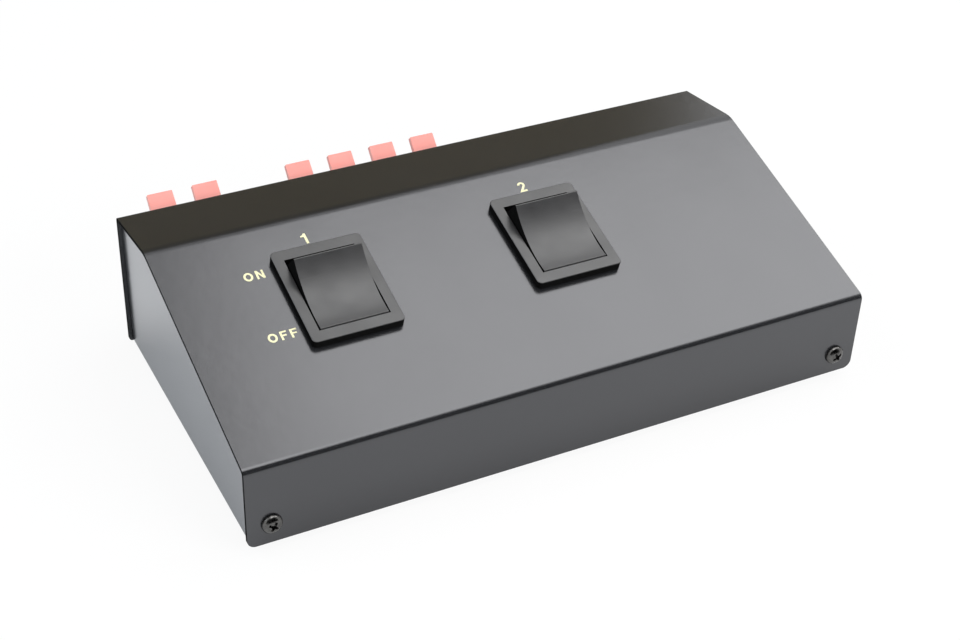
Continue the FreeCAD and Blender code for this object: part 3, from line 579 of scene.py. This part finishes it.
class SwitchSettings(bpy.types.PropertyGroup):
    edge: length("Edge", "Round on the housings' sharp edges", 0.12)
    rocker_edge: length("Rocker edge", "Round on the rockers' sharp edges", 0.2)
    housing: shade_of("Housing", "Colour of the switch housings", (0.018, 0.018, 0.019))
    rocker: shade_of("Rocker", "Colour of the rockers", (0.027, 0.027, 0.028))
    # The sides' colour is darker than the housings' and rockers', and their finish has no shine:
    # painted shade.
    side: shade_of("Side", "Colour of the housings' and rockers' sparked sides",
                   (0.008, 0.008, 0.008))
    housing_gloss: share("Housing roughness", "How softly the housings reflect", 0.36)
    rocker_gloss: share("Rocker roughness", "How softly the rockers reflect", 0.42)
    brass: shade_of("Brass", "Colour of the contacts and tabs", (0.72, 0.53, 0.24))
    spring: shade_of("Spring", "Colour of the spring steel", (0.56, 0.56, 0.58))
    spring_wire: length("Spring wire", "Diameter of the plunger springs' wire", 0.4)
    spring_coils: number("Spring coils", "Turns of each plunger spring", 5.5)


class TerminalSettings(bpy.types.PropertyGroup):
    edge: length("Edge", "Round on the blocks' and levers' edges", 0.12)
    block: shade_of("Block", "Colour of the terminal blocks", (0.02, 0.02, 0.021))
    red: shade_of("Red levers", "Colour of the upper levers", (0.86, 0.34, 0.30))
    black: shade_of("Black levers", "Colour of the lower levers", (0.022, 0.022, 0.023))
    gloss: share("Lever roughness", "How softly the levers reflect", 0.35)
    block_gloss: share("Block roughness", "How softly the terminal blocks reflect", 0.4)


class LegendSettings(bpy.types.PropertyGroup):
    ink: shade_of("Ink", "Colour of the printed legends", (0.84, 0.81, 0.50))
    film: length("Film", "How far the ink stands out of the paint", 0.04)
    gap: share("Gap", "Space between letters, as a share of their height", 0.3)


class StageSettings(bpy.types.PropertyGroup):
    camera_x: length("Camera X", "Camera's place along the box", -190.574)
    camera_y: length("Camera Y", "Camera's place in front of the box", -359.010)
    camera_z: length("Camera Z", "Camera's height", 302.418)
    heading: angle_of("Heading", "Camera's turn to the right", 27.848)
    dip: angle_of("Dip", "How far the camera looks down", 35.657)
    roll: angle_of("Roll", "Camera's roll", 2.162)
    lens: number("Lens", "Focal length on a 36 mm sensor", 66.684, "CAMERA")
    top_power: light_power("Top light", "Power of the wide softbox to the box's right", 16)
    overhead_power: light_power("Overhead light", "Power of the softbox over the box's front",
                                4.2)
    left_power: light_power("Left light", "Power of the softbox to the upper left", 8)
    left_tint: shade_of("Left tint", "Colour of the left softbox", (0.88, 0.94, 1.0))
    front_power: light_power("Front light", "Power of the softbox in front of the box", 27)
    floor_reach: length("Floor", "Half the floor's width", 4000)
    floor_white: share("Floor white", "How far the camera sees the floor as plain white", 0.92)
    floor_mirrored: share("Mirrored floor", "How far pieces mirror the floor as white", 0.1)
    room_light: share("Room light", "Strength of the dim light from all round", 0.2)


SETTINGS = {
    "selector_casing": CasingSettings,
    "selector_screws": ScrewSettings,
    "selector_switches": SwitchSettings,
    "selector_terminals": TerminalSettings,
    "selector_legends": LegendSettings,
    "selector_stage": StageSettings,
}


# ---- operators ----

class SELECTOR_OT_cover(bpy.types.Operator):
    """Paint the folded cover, break its cut edges, and give them a dull dark finish that is partly
    painted shade
    """
    bl_idname = "selector.cover"
    bl_label = "Top Cover"

    def execute(self, context):
        casing = context.scene.selector_casing
        paint = paint_finish("cover_paint", casing.paint, casing.cover_gloss,
                             casing.cover_density, casing.cover_shine)
        holes = places_along("cover_screws", "terminal_block_screws", "input_terminal_block",
                             "output_terminal_block", "switch_1_housing", "switch_2_housing")
        # The rounds and the faces that look along the box take the dull finish: partly the cut
        # edges' real thin coat, partly painted shade of the gap beside them.
        shell = broken_edges("top_cover", "cover_shell", casing.edge, paint, holes, DULL_SHADE)
        shade_faces(shell, dull_shade_finish("cover_cut_edge", casing.cut), sideways)
        return {"FINISHED"}


class SELECTOR_OT_tray(bpy.types.Operator):
    """Paint the base tray and break its cut edges"""
    bl_idname = "selector.tray"
    bl_label = "Base Tray"

    def execute(self, context):
        casing = context.scene.selector_casing
        paint = paint_finish("tray_paint", casing.paint, casing.tray_gloss,
                             casing.tray_density, casing.tray_shine, casing.tray_lacquer)
        holes = places_along("cover_screws")
        broken_edges("base_tray", "tray_shell", casing.edge, paint, holes)
        return {"FINISHED"}


class SELECTOR_OT_feet(bpy.types.Operator):
    """Mould the four rubber feet, each with a rounded rim and a hole"""
    bl_idname = "selector.feet"
    bl_label = "Rubber Feet"

    def execute(self, context):
        casing = context.scene.selector_casing
        rubber = rubber_finish("foot_rubber", casing.rubber)
        for node in sorted(frame["nodes"]):
            if node.startswith("foot_"):
                self.make_foot(node, casing, rubber)
        return {"FINISHED"}

    def make_foot(self, node, casing, rubber):
        """One foot, narrower where it stands, with a blind hole that is open below."""
        low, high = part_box(node)
        wide = (high.x - low.x) / 2
        tall = high.z - low.z
        base = wide - 0.8 * MM
        rim = casing.foot_round
        hole = casing.foot_hole / 2
        hole_top = tall * 0.45
        lead_in, top_edge = 0.15 * MM, 0.1 * MM
        steps = 6
        profile = [(0, hole_top), (hole, hole_top), (hole, lead_in), (hole + lead_in, 0)]
        for step in range(steps + 1):
            angle = math.pi / 2 * step / steps
            profile.append((base - rim + rim * math.sin(angle), rim - rim * math.cos(angle)))
        profile += [(wide, tall - top_edge), (wide - top_edge, tall), (0, tall)]
        mesh = bmesh.new()
        lathe(mesh, profile)
        sharpen(mesh, math.radians(40))
        centre = (low + high) / 2
        bmesh.ops.translate(mesh, verts=mesh.verts, vec=(centre.x, centre.y, low.z))
        new_piece(node + "_moulding", mesh, rubber, body_of_node(node), SLOTS[node], node)


class SELECTOR_OT_screws(bpy.types.Operator):
    """Make the pan head screws of the cover and the terminal blocks"""
    bl_idname = "selector.screws"
    bl_label = "Screws"

    def execute(self, context):
        settings = context.scene.selector_screws
        steel = blackened_finish("blackened_steel", settings.steel, settings.gloss)
        for node in ("cover_screws", "terminal_block_screws"):
            group = bmesh.new()
            for points in islands(node):
                self.add_screw(group, points, settings)
            new_piece(node + "_turned", group, steel, body_of_node(node), SLOTS[node], node)
        return {"FINISHED"}

    def add_screw(self, group, points, settings):
        """One screw in the place of some points, its head away from the box's middle."""
        near = 0.01 * MM
        thinnest_head = 1.0 * MM
        spin_per_mm = math.radians(9)
        centre = middle(points)
        low, high = span(points, BACK)
        left, right = span(points, ALONG)
        front = centre.y < 0
        outside = low if front else high
        radius = (right - left) / 2
        whole = high - low
        tall = min(abs(point.y - outside) for point in points
                   if abs(abs(point.x - centre.x) - radius) < near
                   and abs(point.y - outside) > thinnest_head)
        thin = min((point - Vector((centre.x, point.y, centre.z))).length for point in points
                   if abs(abs(point.y - outside) - whole) < near)
        head = self.head(radius, tall, settings)
        screw = self.shank(thin, whole - tall, settings)
        join(screw, head)
        sharpen(screw, math.radians(35))
        turn = Matrix.Rotation(math.radians(90 if front else -90), 4, "X")
        seat = low + tall if front else high - tall
        place = Matrix.Translation((centre.x, seat, centre.z)) @ turn
        spin = Matrix.Rotation(centre.x / MM * spin_per_mm, 4, "Z")
        bmesh.ops.transform(screw, matrix=place @ spin, verts=screw.verts)
        join(group, screw)

    def head(self, radius, height, settings):
        """A domed pan head with a cross recess, its seat at 0 and its top at the height."""
        flat = 0.12 * height
        seat_edge = 0.12 * MM
        steps = 10
        profile = [(0, 0), (radius - seat_edge, 0), (radius, seat_edge), (radius, flat)]
        for step in range(1, steps):
            angle = math.pi / 2 * step / steps
            profile.append((radius * math.cos(angle), flat + (height - flat) * math.sin(angle)))
        profile.append((0, height))
        head = bmesh.new()
        lathe(head, profile)
        return carve(head, self.recess(height, settings))

    def recess(self, top, settings):
        """The tool's cross: wings that narrow with depth, meeting in a blunt point."""
        cross = bmesh.new()
        wing = settings.recess_wing / 2
        half, depth = settings.recess_width / 2, settings.recess_depth
        levels = ((top + 0.2 * MM, half, wing),
                  (top - depth * 0.75, half / 2, wing * 0.7),
                  (top - depth, wing * 0.9, wing * 0.35))
        loops = []
        for height, reach, width in levels:
            inner = width + wing * 0.35
            loop = []
            for quarter in range(4):
                spin = Matrix.Rotation(math.pi / 2 * quarter, 3, "Z")
                for x, y in ((reach, -width), (reach, width), (inner, width), (width, inner)):
                    loop.append(cross.verts.new(spin @ Vector((x, y, height))))
            loops.append(loop)
        skin(cross, loops)
        bmesh.ops.recalc_face_normals(cross, faces=cross.faces)
        return cross

    def shank(self, radius, depth, settings):
        """A threaded shank that runs down from 0, with a short point."""
        shank = bmesh.new()
        around, per_turn = 24, 8
        tip, taper, thinnest = 1.0 * MM, 0.7, 0.2 * MM
        steps = round(depth / settings.thread_pitch * per_turn)
        rings = []
        for step in range(steps + 1):
            fall = depth * step / steps
            fade = min(1, fall / (2 * settings.thread_pitch))
            point = max(0, fall - (depth - tip)) * taper
            radii = []
            for corner in range(around):
                phase = (fall / settings.thread_pitch + corner / around) % 1
                groove = settings.thread_depth * (1 - abs(2 * phase - 1)) * fade
                radii.append(max(radius - groove - point, thinnest))
            rings.append(ring_at(shank, radii, -fall))
        skin(shank, rings)
        bmesh.ops.recalc_face_normals(shank, faces=shank.faces)
        return shank


class SELECTOR_OT_housings(bpy.types.Operator):
    """Give the two switch housings moulded edges and a satin black finish"""
    bl_idname = "selector.housings"
    bl_label = "Switch Housings"

    def execute(self, context):
        settings = context.scene.selector_switches
        nylon = plastic_finish("housing_nylon", settings.housing, settings.housing_gloss,
                               grain=0.004 * MM, density=1.65)
        shaded = dull_shade_finish("housing_side", settings.side)
        out = panel_frame().col[2].xyz
        steepest = 0.35
        for switch in SWITCHES:
            node = switch + "_housing"
            piece = broken_edges(node, switch + "_bezel_and_box", settings.edge, nylon,
                                 places_along(node))
            # Faces that stand steeply out of the panel, the sides of bezel and box, take the dark
            # finish without shine: painted shade.
            shade_faces(piece, shaded, lambda normal: abs(normal.dot(out)) < steepest)
        return {"FINISHED"}


class SELECTOR_OT_rockers(bpy.types.Operator):
    """Give the two rockers moulded edges and a fine spark texture"""
    bl_idname = "selector.rockers"
    bl_label = "Rockers"

    def execute(self, context):
        settings = context.scene.selector_switches
        nylon = handled_finish("rocker_nylon", settings.rocker, settings.rocker_gloss,
                               grain=0.008 * MM)
        shaded = dull_shade_finish("rocker_side", settings.side)
        for switch in SWITCHES:
            node = switch + "_rocker"
            # The rockers' rounds and the faces that look along the box take the dark finish without
            # shine: painted shade, which also widens the dark gap round each rocker.
            piece = broken_edges(node, switch + "_rocker_cap", settings.rocker_edge, nylon,
                                 places_along(node), DULL_SHADE)
            shade_faces(piece, shaded, sideways)
        return {"FINISHED"}


class SELECTOR_OT_contacts(bpy.types.Operator):
    """Finish the switches' brass and wind the springs over their plungers"""
    bl_idname = "selector.contacts"
    bl_label = "Contacts and Springs"

    def execute(self, context):
        settings = context.scene.selector_switches
        brass = metal_finish("stamped_brass", settings.brass, 0.24, 1500, (1, 0.15, 1))
        steel = metal_finish("spring_wire", settings.spring, 0.22, 2500)
        for switch in SWITCHES:
            for part in ("plungers", "contact_blades", "common_terminals", "throw_terminals"):
                use_material("%s_%s" % (switch, part), brass)
            self.wind(switch, steel, settings)
        return {"FINISHED"}

    def wind(self, switch, steel, settings):
        """Two coil springs in the rocker, each as long as its place."""
        node = switch + "_springs"
        tilt = panel_slope() + self.rest_tilt(body_of_node(node))
        turn = Matrix.Rotation(tilt, 4, "X")
        axis = turn @ UP
        coils = bmesh.new()
        for points in islands(node):
            centre = middle(points)
            low, high = span(points, axis)
            left, right = span(points, ALONG)
            wire = settings.spring_wire / 2
            foot = centre + axis * (low - centre.dot(axis))
            helix_tube(coils, (right - left) / 2 - wire, wire, high - low,
                       settings.spring_coils, Matrix.Translation(foot) @ turn)
        sharpen(coils, math.radians(60))
        new_piece(switch + "_coil_springs", coils, steel, body_of_node(node), SLOTS[node], node)

    def rest_tilt(self, body):
        """The rocker's lean at rest, half of its whole travel."""
        for joint in frame["joints"]:
            if joint["child"] == body:
                low, high = joint["range_deg"]
                return math.radians(high - low) / 2
        raise ValueError("no joint moves %s" % body)


class SELECTOR_OT_blocks(bpy.types.Operator):
    """Give the terminal blocks moulded edges"""
    bl_idname = "selector.blocks"
    bl_label = "Terminal Blocks"

    def execute(self, context):
        settings = context.scene.selector_terminals
        plastic = plastic_finish("block_plastic", settings.block, settings.block_gloss,
                                 grain=0.006 * MM)
        for block in BLOCKS:
            levers = [node for node in frame["nodes"] if node.startswith(block + "_red_lever_")]
            broken_edges(block + "_terminal_block", block + "_block_moulding", settings.edge,
                         plastic, places_along("terminal_block_screws", *levers))
        return {"FINISHED"}


class SELECTOR_OT_levers(bpy.types.Operator):
    """Give the push levers rounded edges and their two colours"""
    bl_idname = "selector.levers"
    bl_label = "Push Levers"

    def execute(self, context):
        settings = context.scene.selector_terminals
        finishes = {
            "red": clear_plastic_finish("lever_red", settings.red, settings.gloss),
            "black": clear_plastic_finish("lever_black", settings.black, settings.gloss),
        }
        for node in sorted(frame["nodes"]):
            for colour, finish in finishes.items():
                if "_%s_lever_" % colour in node:
                    broken_edges(node, node + "_tab", settings.edge, finish)
        return {"FINISHED"}


class SELECTOR_OT_terminal_metal(bpy.types.Operator):
    """Finish the clip springs and contact strips inside the terminal blocks"""
    bl_idname = "selector.terminal_metal"
    bl_label = "Clips and Strips"

    def execute(self, context):
        settings = context.scene.selector_switches
        brass = metal_finish("strip_brass", settings.brass, 0.26, 1500, (1, 0.15, 1))
        steel = metal_finish("clip_steel", settings.spring, 0.28, 1800, (0.2, 1, 1))
        for block in BLOCKS:
            use_material(block + "_contact_strips", brass)
            use_material(block + "_clip_springs", steel)
        return {"FINISHED"}


# Printed words: text, the height of its letters, and its centre's place along the panel and up
# it, in millimetres.
LEGENDS = {
    "legend_1": ("1", 3.6, 41.4, 65.25),
    "legend_2": ("2", 3.6, 106.4, 65.25),
    "legend_on": ("ON", 2.85, 24.2, 57.1),
    "legend_off": ("OFF", 2.85, 24.1, 36.25),
}

# Straight-sided letters: their outline's corners in shares of their height.
CORNERS = {
    "1": [(0.24, 0), (0.43, 0), (0.43, 1), (0.27, 1), (0.2, 0.89), (0.1, 0.83), (0, 0.81),
          (0, 0.69), (0.24, 0.69)],
    "F": [(0, 0), (0.2, 0), (0.2, 0.43), (0.58, 0.43), (0.58, 0.6), (0.2, 0.6), (0.2, 0.83),
          (0.65, 0.83), (0.65, 1), (0, 1)],
    "N": [(0, 0), (0.2, 0), (0.2, 0.65), (0.57, 0), (0.77, 0), (0.77, 1), (0.57, 1), (0.57, 0.35),
          (0.2, 1), (0, 1)],
}


def arc(centre, reach, start, stop, steps=24):
    """Points on an ellipse's arc between two angles in degrees."""
    points = []
    for step in range(steps + 1):
        angle = math.radians(start + (stop - start) * step / steps)
        points.append((centre[0] + reach[0] * math.cos(angle),
                       centre[1] + reach[1] * math.sin(angle)))
    return points


def banded(middle_line, width, closed=False):
    """Quads of a band of even width along a line; each is four corners."""
    edges = []
    last = len(middle_line) - 1
    for index, point in enumerate(middle_line):
        here = Vector(point)
        before = middle_line[index - 1 if index else (last - 1 if closed else 0)]
        after = middle_line[index + 1 if index < last else (1 if closed else last)]
        normals = []
        for start, stop in ((before, here), (here, after)):
            run = Vector(stop) - Vector(start)
            if run.length:
                normals.append(Vector((-run.y, run.x)).normalized())
        across = sum(normals, Vector((0, 0)))
        across *= width / 2 * len(normals) / across.length_squared
        edges.append((here + across, here - across))
    return [(a, b, d, c) for (a, b), (c, d) in zip(edges, edges[1:])]


def letter_shapes(letter):
    """A letter's faces in shares of its height, standing on its base line from 0 to its width."""
    if letter == "O":
        return banded(arc((0.44, 0.5), (0.34, 0.4), 0, 360, 40), 0.2, closed=True), 0.88
    if letter == "2":
        line = arc((0.3, 0.7), (0.21, 0.21), 172, -36) + [(0.1, 0.085), (0.58, 0.085)]
        return banded(line, 0.17), 0.58
    corners = CORNERS[letter]
    return [corners], max(x for x, _ in corners)


class SELECTOR_OT_legends(bpy.types.Operator):
    """Print the two numbers and the two words beside the switches"""
    bl_idname = "selector.legends"
    bl_label = "Legends"

    def execute(self, context):
        settings = context.scene.selector_legends
        ink = ink_finish("legend_ink", settings.ink)
        panel = panel_frame()
        for name, (words, height, along, up) in LEGENDS.items():
            mesh = self.letters(words, height * MM, settings)
            place = panel @ Matrix.Translation((along * MM, up * MM, 0))
            bmesh.ops.transform(mesh, matrix=place, verts=mesh.verts)
            new_piece(name, mesh, ink, "root", "cover_paint")
        return {"FINISHED"}

    def letters(self, words, height, settings):
        """Letters of a height, centred on the origin, from one film under the paint to one over."""
        joint = 0.001  # corners of a letter nearer than this share of its height are one
        mesh = bmesh.new()
        pen = 0
        for letter in words:
            shapes, width = letter_shapes(letter)
            for corners in shapes:
                mesh.faces.new([mesh.verts.new((pen + x, y, 0)) for x, y in corners])
            pen += width + settings.gap
        bmesh.ops.remove_doubles(mesh, verts=mesh.verts, dist=joint)
        centre = Vector(((pen - settings.gap) / 2, 0.5, 0))
        bmesh.ops.translate(mesh, verts=mesh.verts, vec=-centre)
        bmesh.ops.scale(mesh, verts=mesh.verts, vec=(height, height, 1))
        grown = bmesh.ops.extrude_face_region(mesh, geom=mesh.faces[:])
        raised = [item for item in grown["geom"] if isinstance(item, bmesh.types.BMVert)]
        bmesh.ops.translate(mesh, verts=raised, vec=(0, 0, settings.film * 2))
        bmesh.ops.translate(mesh, verts=mesh.verts, vec=(0, 0, -settings.film))
        bmesh.ops.recalc_face_normals(mesh, faces=mesh.faces)
        return mesh


# Softboxes: place, width and length, and the point that each one faces, in metres.
SOFTBOXES = {
    "top": ((1.17, 0.13, 1.25), (1.86, 0.96), (1.17, 0.13, 0)),
    "overhead": ((0.06, -0.25, 1.25), (0.5, 0.8), (0.06, -0.25, 0)),
    "left": ((-0.9, 0.35, 0.95), (1.0, 0.8), (0, 0, 0)),
    "front": ((0.9, -1.5, 1.0), (1.2, 0.8), (0, 0, 0)),
}

# Cards: centre, half the width and half the height in metres, and colour.
CARDS = {
    "rear": ((0.07, 1.6, 0.95), (1.0, 0.95), (0.22, 0.185, 0.11)),
    "front": ((0, -1.9, 1.6), (2.5, 1.6), (0.02, 0.02, 0.02)),
}


def looked_at(tree, camera, mirrored):
    """A share for what the camera sees, and another for what shines or shows through a piece."""
    path = tree.nodes.new("ShaderNodeLightPath")
    total = None
    for ray, share_seen in (("Is Camera Ray", camera), ("Is Glossy Ray", mirrored),
                            ("Is Transmission Ray", mirrored)):
        part = tree.nodes.new("ShaderNodeMath")
        part.operation = "MULTIPLY"
        part.inputs[1].default_value = share_seen
        tree.links.new(path.outputs[ray], part.inputs[0])
        if total is None:
            total = part.outputs[0]
            continue
        joined = tree.nodes.new("ShaderNodeMath")
        joined.operation = "MAXIMUM"
        tree.links.new(total, joined.inputs[0])
        tree.links.new(part.outputs[0], joined.inputs[1])
        total = joined.outputs[0]
    return total


class SELECTOR_OT_stage(bpy.types.Operator):
    """Set up the pale floor, the cards, the background, the softboxes and the camera"""
    bl_idname = "selector.stage"
    bl_label = "Studio"

    def execute(self, context):
        settings = context.scene.selector_stage
        self.make_floor(settings)
        for name, (centre, reach, colour) in CARDS.items():
            self.add_card(name + "_card", centre, reach, colour)
        self.make_world(context, settings)
        lamps = {}
        for name, (place, size, aim) in SOFTBOXES.items():
            power = getattr(settings, name + "_power")
            lamps[name] = self.add_softbox(name + "_softbox", place, size, power, aim)
        lamps["left"].data.color = settings.left_tint
        lamps["front"].visible_glossy = False
        self.add_camera(context, settings)
        context.scene.view_settings.view_transform = "Standard"
        return {"FINISHED"}

    def add_sheet(self, name, reach_x, reach_y, place, material):
        """A flat rectangle of the stage."""
        mesh = bmesh.new()
        bmesh.ops.create_grid(mesh, x_segments=8, y_segments=8, size=1)
        bmesh.ops.scale(mesh, verts=mesh.verts, vec=(reach_x, reach_y, 1))
        data = bpy.data.meshes.new(name)
        mesh.to_mesh(data)
        mesh.free()
        sheet = bpy.data.objects.new(name, data)
        bpy.context.scene.collection.objects.link(sheet)
        sheet.matrix_world = place
        data.materials.append(material)
        return sheet

    def make_floor(self, settings):
        """A matt white floor that looks nearly as white as the background and keeps the shadow."""
        finish = Finish("studio_floor")
        finish.colour(finish.tint(finish.noise(3, 2), (0.8, 0.8, 0.8), (0.84, 0.84, 0.84)))
        finish.constant(roughness=0.9, specular_ior_level=0)
        glow = finish.tree.nodes.new("ShaderNodeEmission")
        mix = finish.tree.nodes.new("ShaderNodeMixShader")
        white = looked_at(finish.tree, settings.floor_white, settings.floor_mirrored)
        finish.link(white, mix.inputs[0])
        finish.link(finish.shader.outputs[0], mix.inputs[1])
        finish.link(glow.outputs[0], mix.inputs[2])
        finish.link(mix.outputs[0], finish.tree.nodes["Material Output"].inputs["Surface"])
        reach = settings.floor_reach
        self.add_sheet("studio_floor", reach, reach, Matrix(), finish.material)

    def add_card(self, name, centre, reach, colour):
        """An upright dark card that is seen only in what the pieces reflect."""
        finish = Finish(name)
        finish.colour(finish.tint(finish.noise(4, 2), shade(colour, 0.9), shade(colour, 1.1)))
        finish.constant(roughness=0.9, specular_ior_level=0)
        place = Matrix.Translation(centre) @ Matrix.Rotation(math.radians(90), 4, "X")
        card = self.add_sheet(name, *reach, place, finish.material)
        card.visible_camera = False
        card.visible_diffuse = False
        card.visible_shadow = False

    def make_world(self, context, settings):
        """Dim light all round, and a white background for what looks straight at it."""
        world = bpy.data.worlds.new("studio")
        world.use_nodes = True
        context.scene.world = world
        tree = world.node_tree
        light = tree.nodes["Background"]
        light.inputs["Strength"].default_value = settings.room_light
        white = tree.nodes.new("ShaderNodeBackground")
        for source in (light, white):
            source.inputs["Color"].default_value = (1, 1, 1, 1)
        mix = tree.nodes.new("ShaderNodeMixShader")
        tree.links.new(looked_at(tree, 1, 1), mix.inputs[0])
        tree.links.new(light.outputs[0], mix.inputs[1])
        tree.links.new(white.outputs[0], mix.inputs[2])
        tree.links.new(mix.outputs[0], tree.nodes["World Output"].inputs["Surface"])

    def add_softbox(self, name, place, size, power, aim):
        """A rectangular light that faces a point."""
        light = bpy.data.lights.new(name, "AREA")
        light.shape = "RECTANGLE"
        light.size, light.size_y = size
        light.energy = power
        box = bpy.data.objects.new(name, light)
        bpy.context.scene.collection.objects.link(box)
        box.location = place
        box.rotation_euler = (Vector(place) - Vector(aim)).to_track_quat("Z", "Y").to_euler()
        box.visible_camera = False
        return box

    def add_camera(self, context, settings):
        """A camera turned by its heading, then tipped down by its dip, then rolled."""
        data = bpy.data.cameras.new("camera")
        data.lens = settings.lens
        data.sensor_width = 36
        camera = bpy.data.objects.new("camera", data)
        context.scene.collection.objects.link(camera)
        place = Matrix.Translation((settings.camera_x, settings.camera_y, settings.camera_z))
        heading = Matrix.Rotation(-settings.heading, 4, "Z")
        dip = Matrix.Rotation(math.pi / 2 - settings.dip, 4, "X")
        camera.matrix_world = place @ heading @ dip @ Matrix.Rotation(settings.roll, 4, "Z")
        context.scene.camera = camera


OPERATORS = (
    SELECTOR_OT_cover,
    SELECTOR_OT_tray,
    SELECTOR_OT_feet,
    SELECTOR_OT_screws,
    SELECTOR_OT_housings,
    SELECTOR_OT_rockers,
    SELECTOR_OT_contacts,
    SELECTOR_OT_blocks,
    SELECTOR_OT_levers,
    SELECTOR_OT_terminal_metal,
    SELECTOR_OT_legends,
    SELECTOR_OT_stage,
)


class SELECTOR_PT_panel(bpy.types.Panel):
    """Sizes, colours and the steps that make the pieces"""
    bl_idname = "SELECTOR_PT_panel"
    bl_label = "Speaker Selector"
    bl_space_type = "VIEW_3D"
    bl_region_type = "UI"
    bl_category = "Selector"

    def draw(self, context):
        for name, group in SETTINGS.items():
            box = self.layout.box()
            for prop in group.__annotations__:
                box.prop(getattr(context.scene, name), prop)
        for operator in OPERATORS:
            self.layout.operator(operator.bl_idname)


def register():
    for name, group in SETTINGS.items():
        bpy.utils.register_class(group)
        setattr(bpy.types.Scene, name, bpy.props.PointerProperty(type=group))
    for operator in OPERATORS:
        bpy.utils.register_class(operator)
    bpy.utils.register_class(SELECTOR_PT_panel)


def unregister():
    bpy.utils.unregister_class(SELECTOR_PT_panel)
    for operator in reversed(OPERATORS):
        bpy.utils.unregister_class(operator)
    for name, group in SETTINGS.items():
        delattr(bpy.types.Scene, name)
        bpy.utils.unregister_class(group)


def main():
    """Make everything in order."""
    register()
    for operator in OPERATORS:
        family, step = operator.bl_idname.split(".")
        getattr(getattr(bpy.ops, family), step)()


if __name__ == "__main__":
    main()
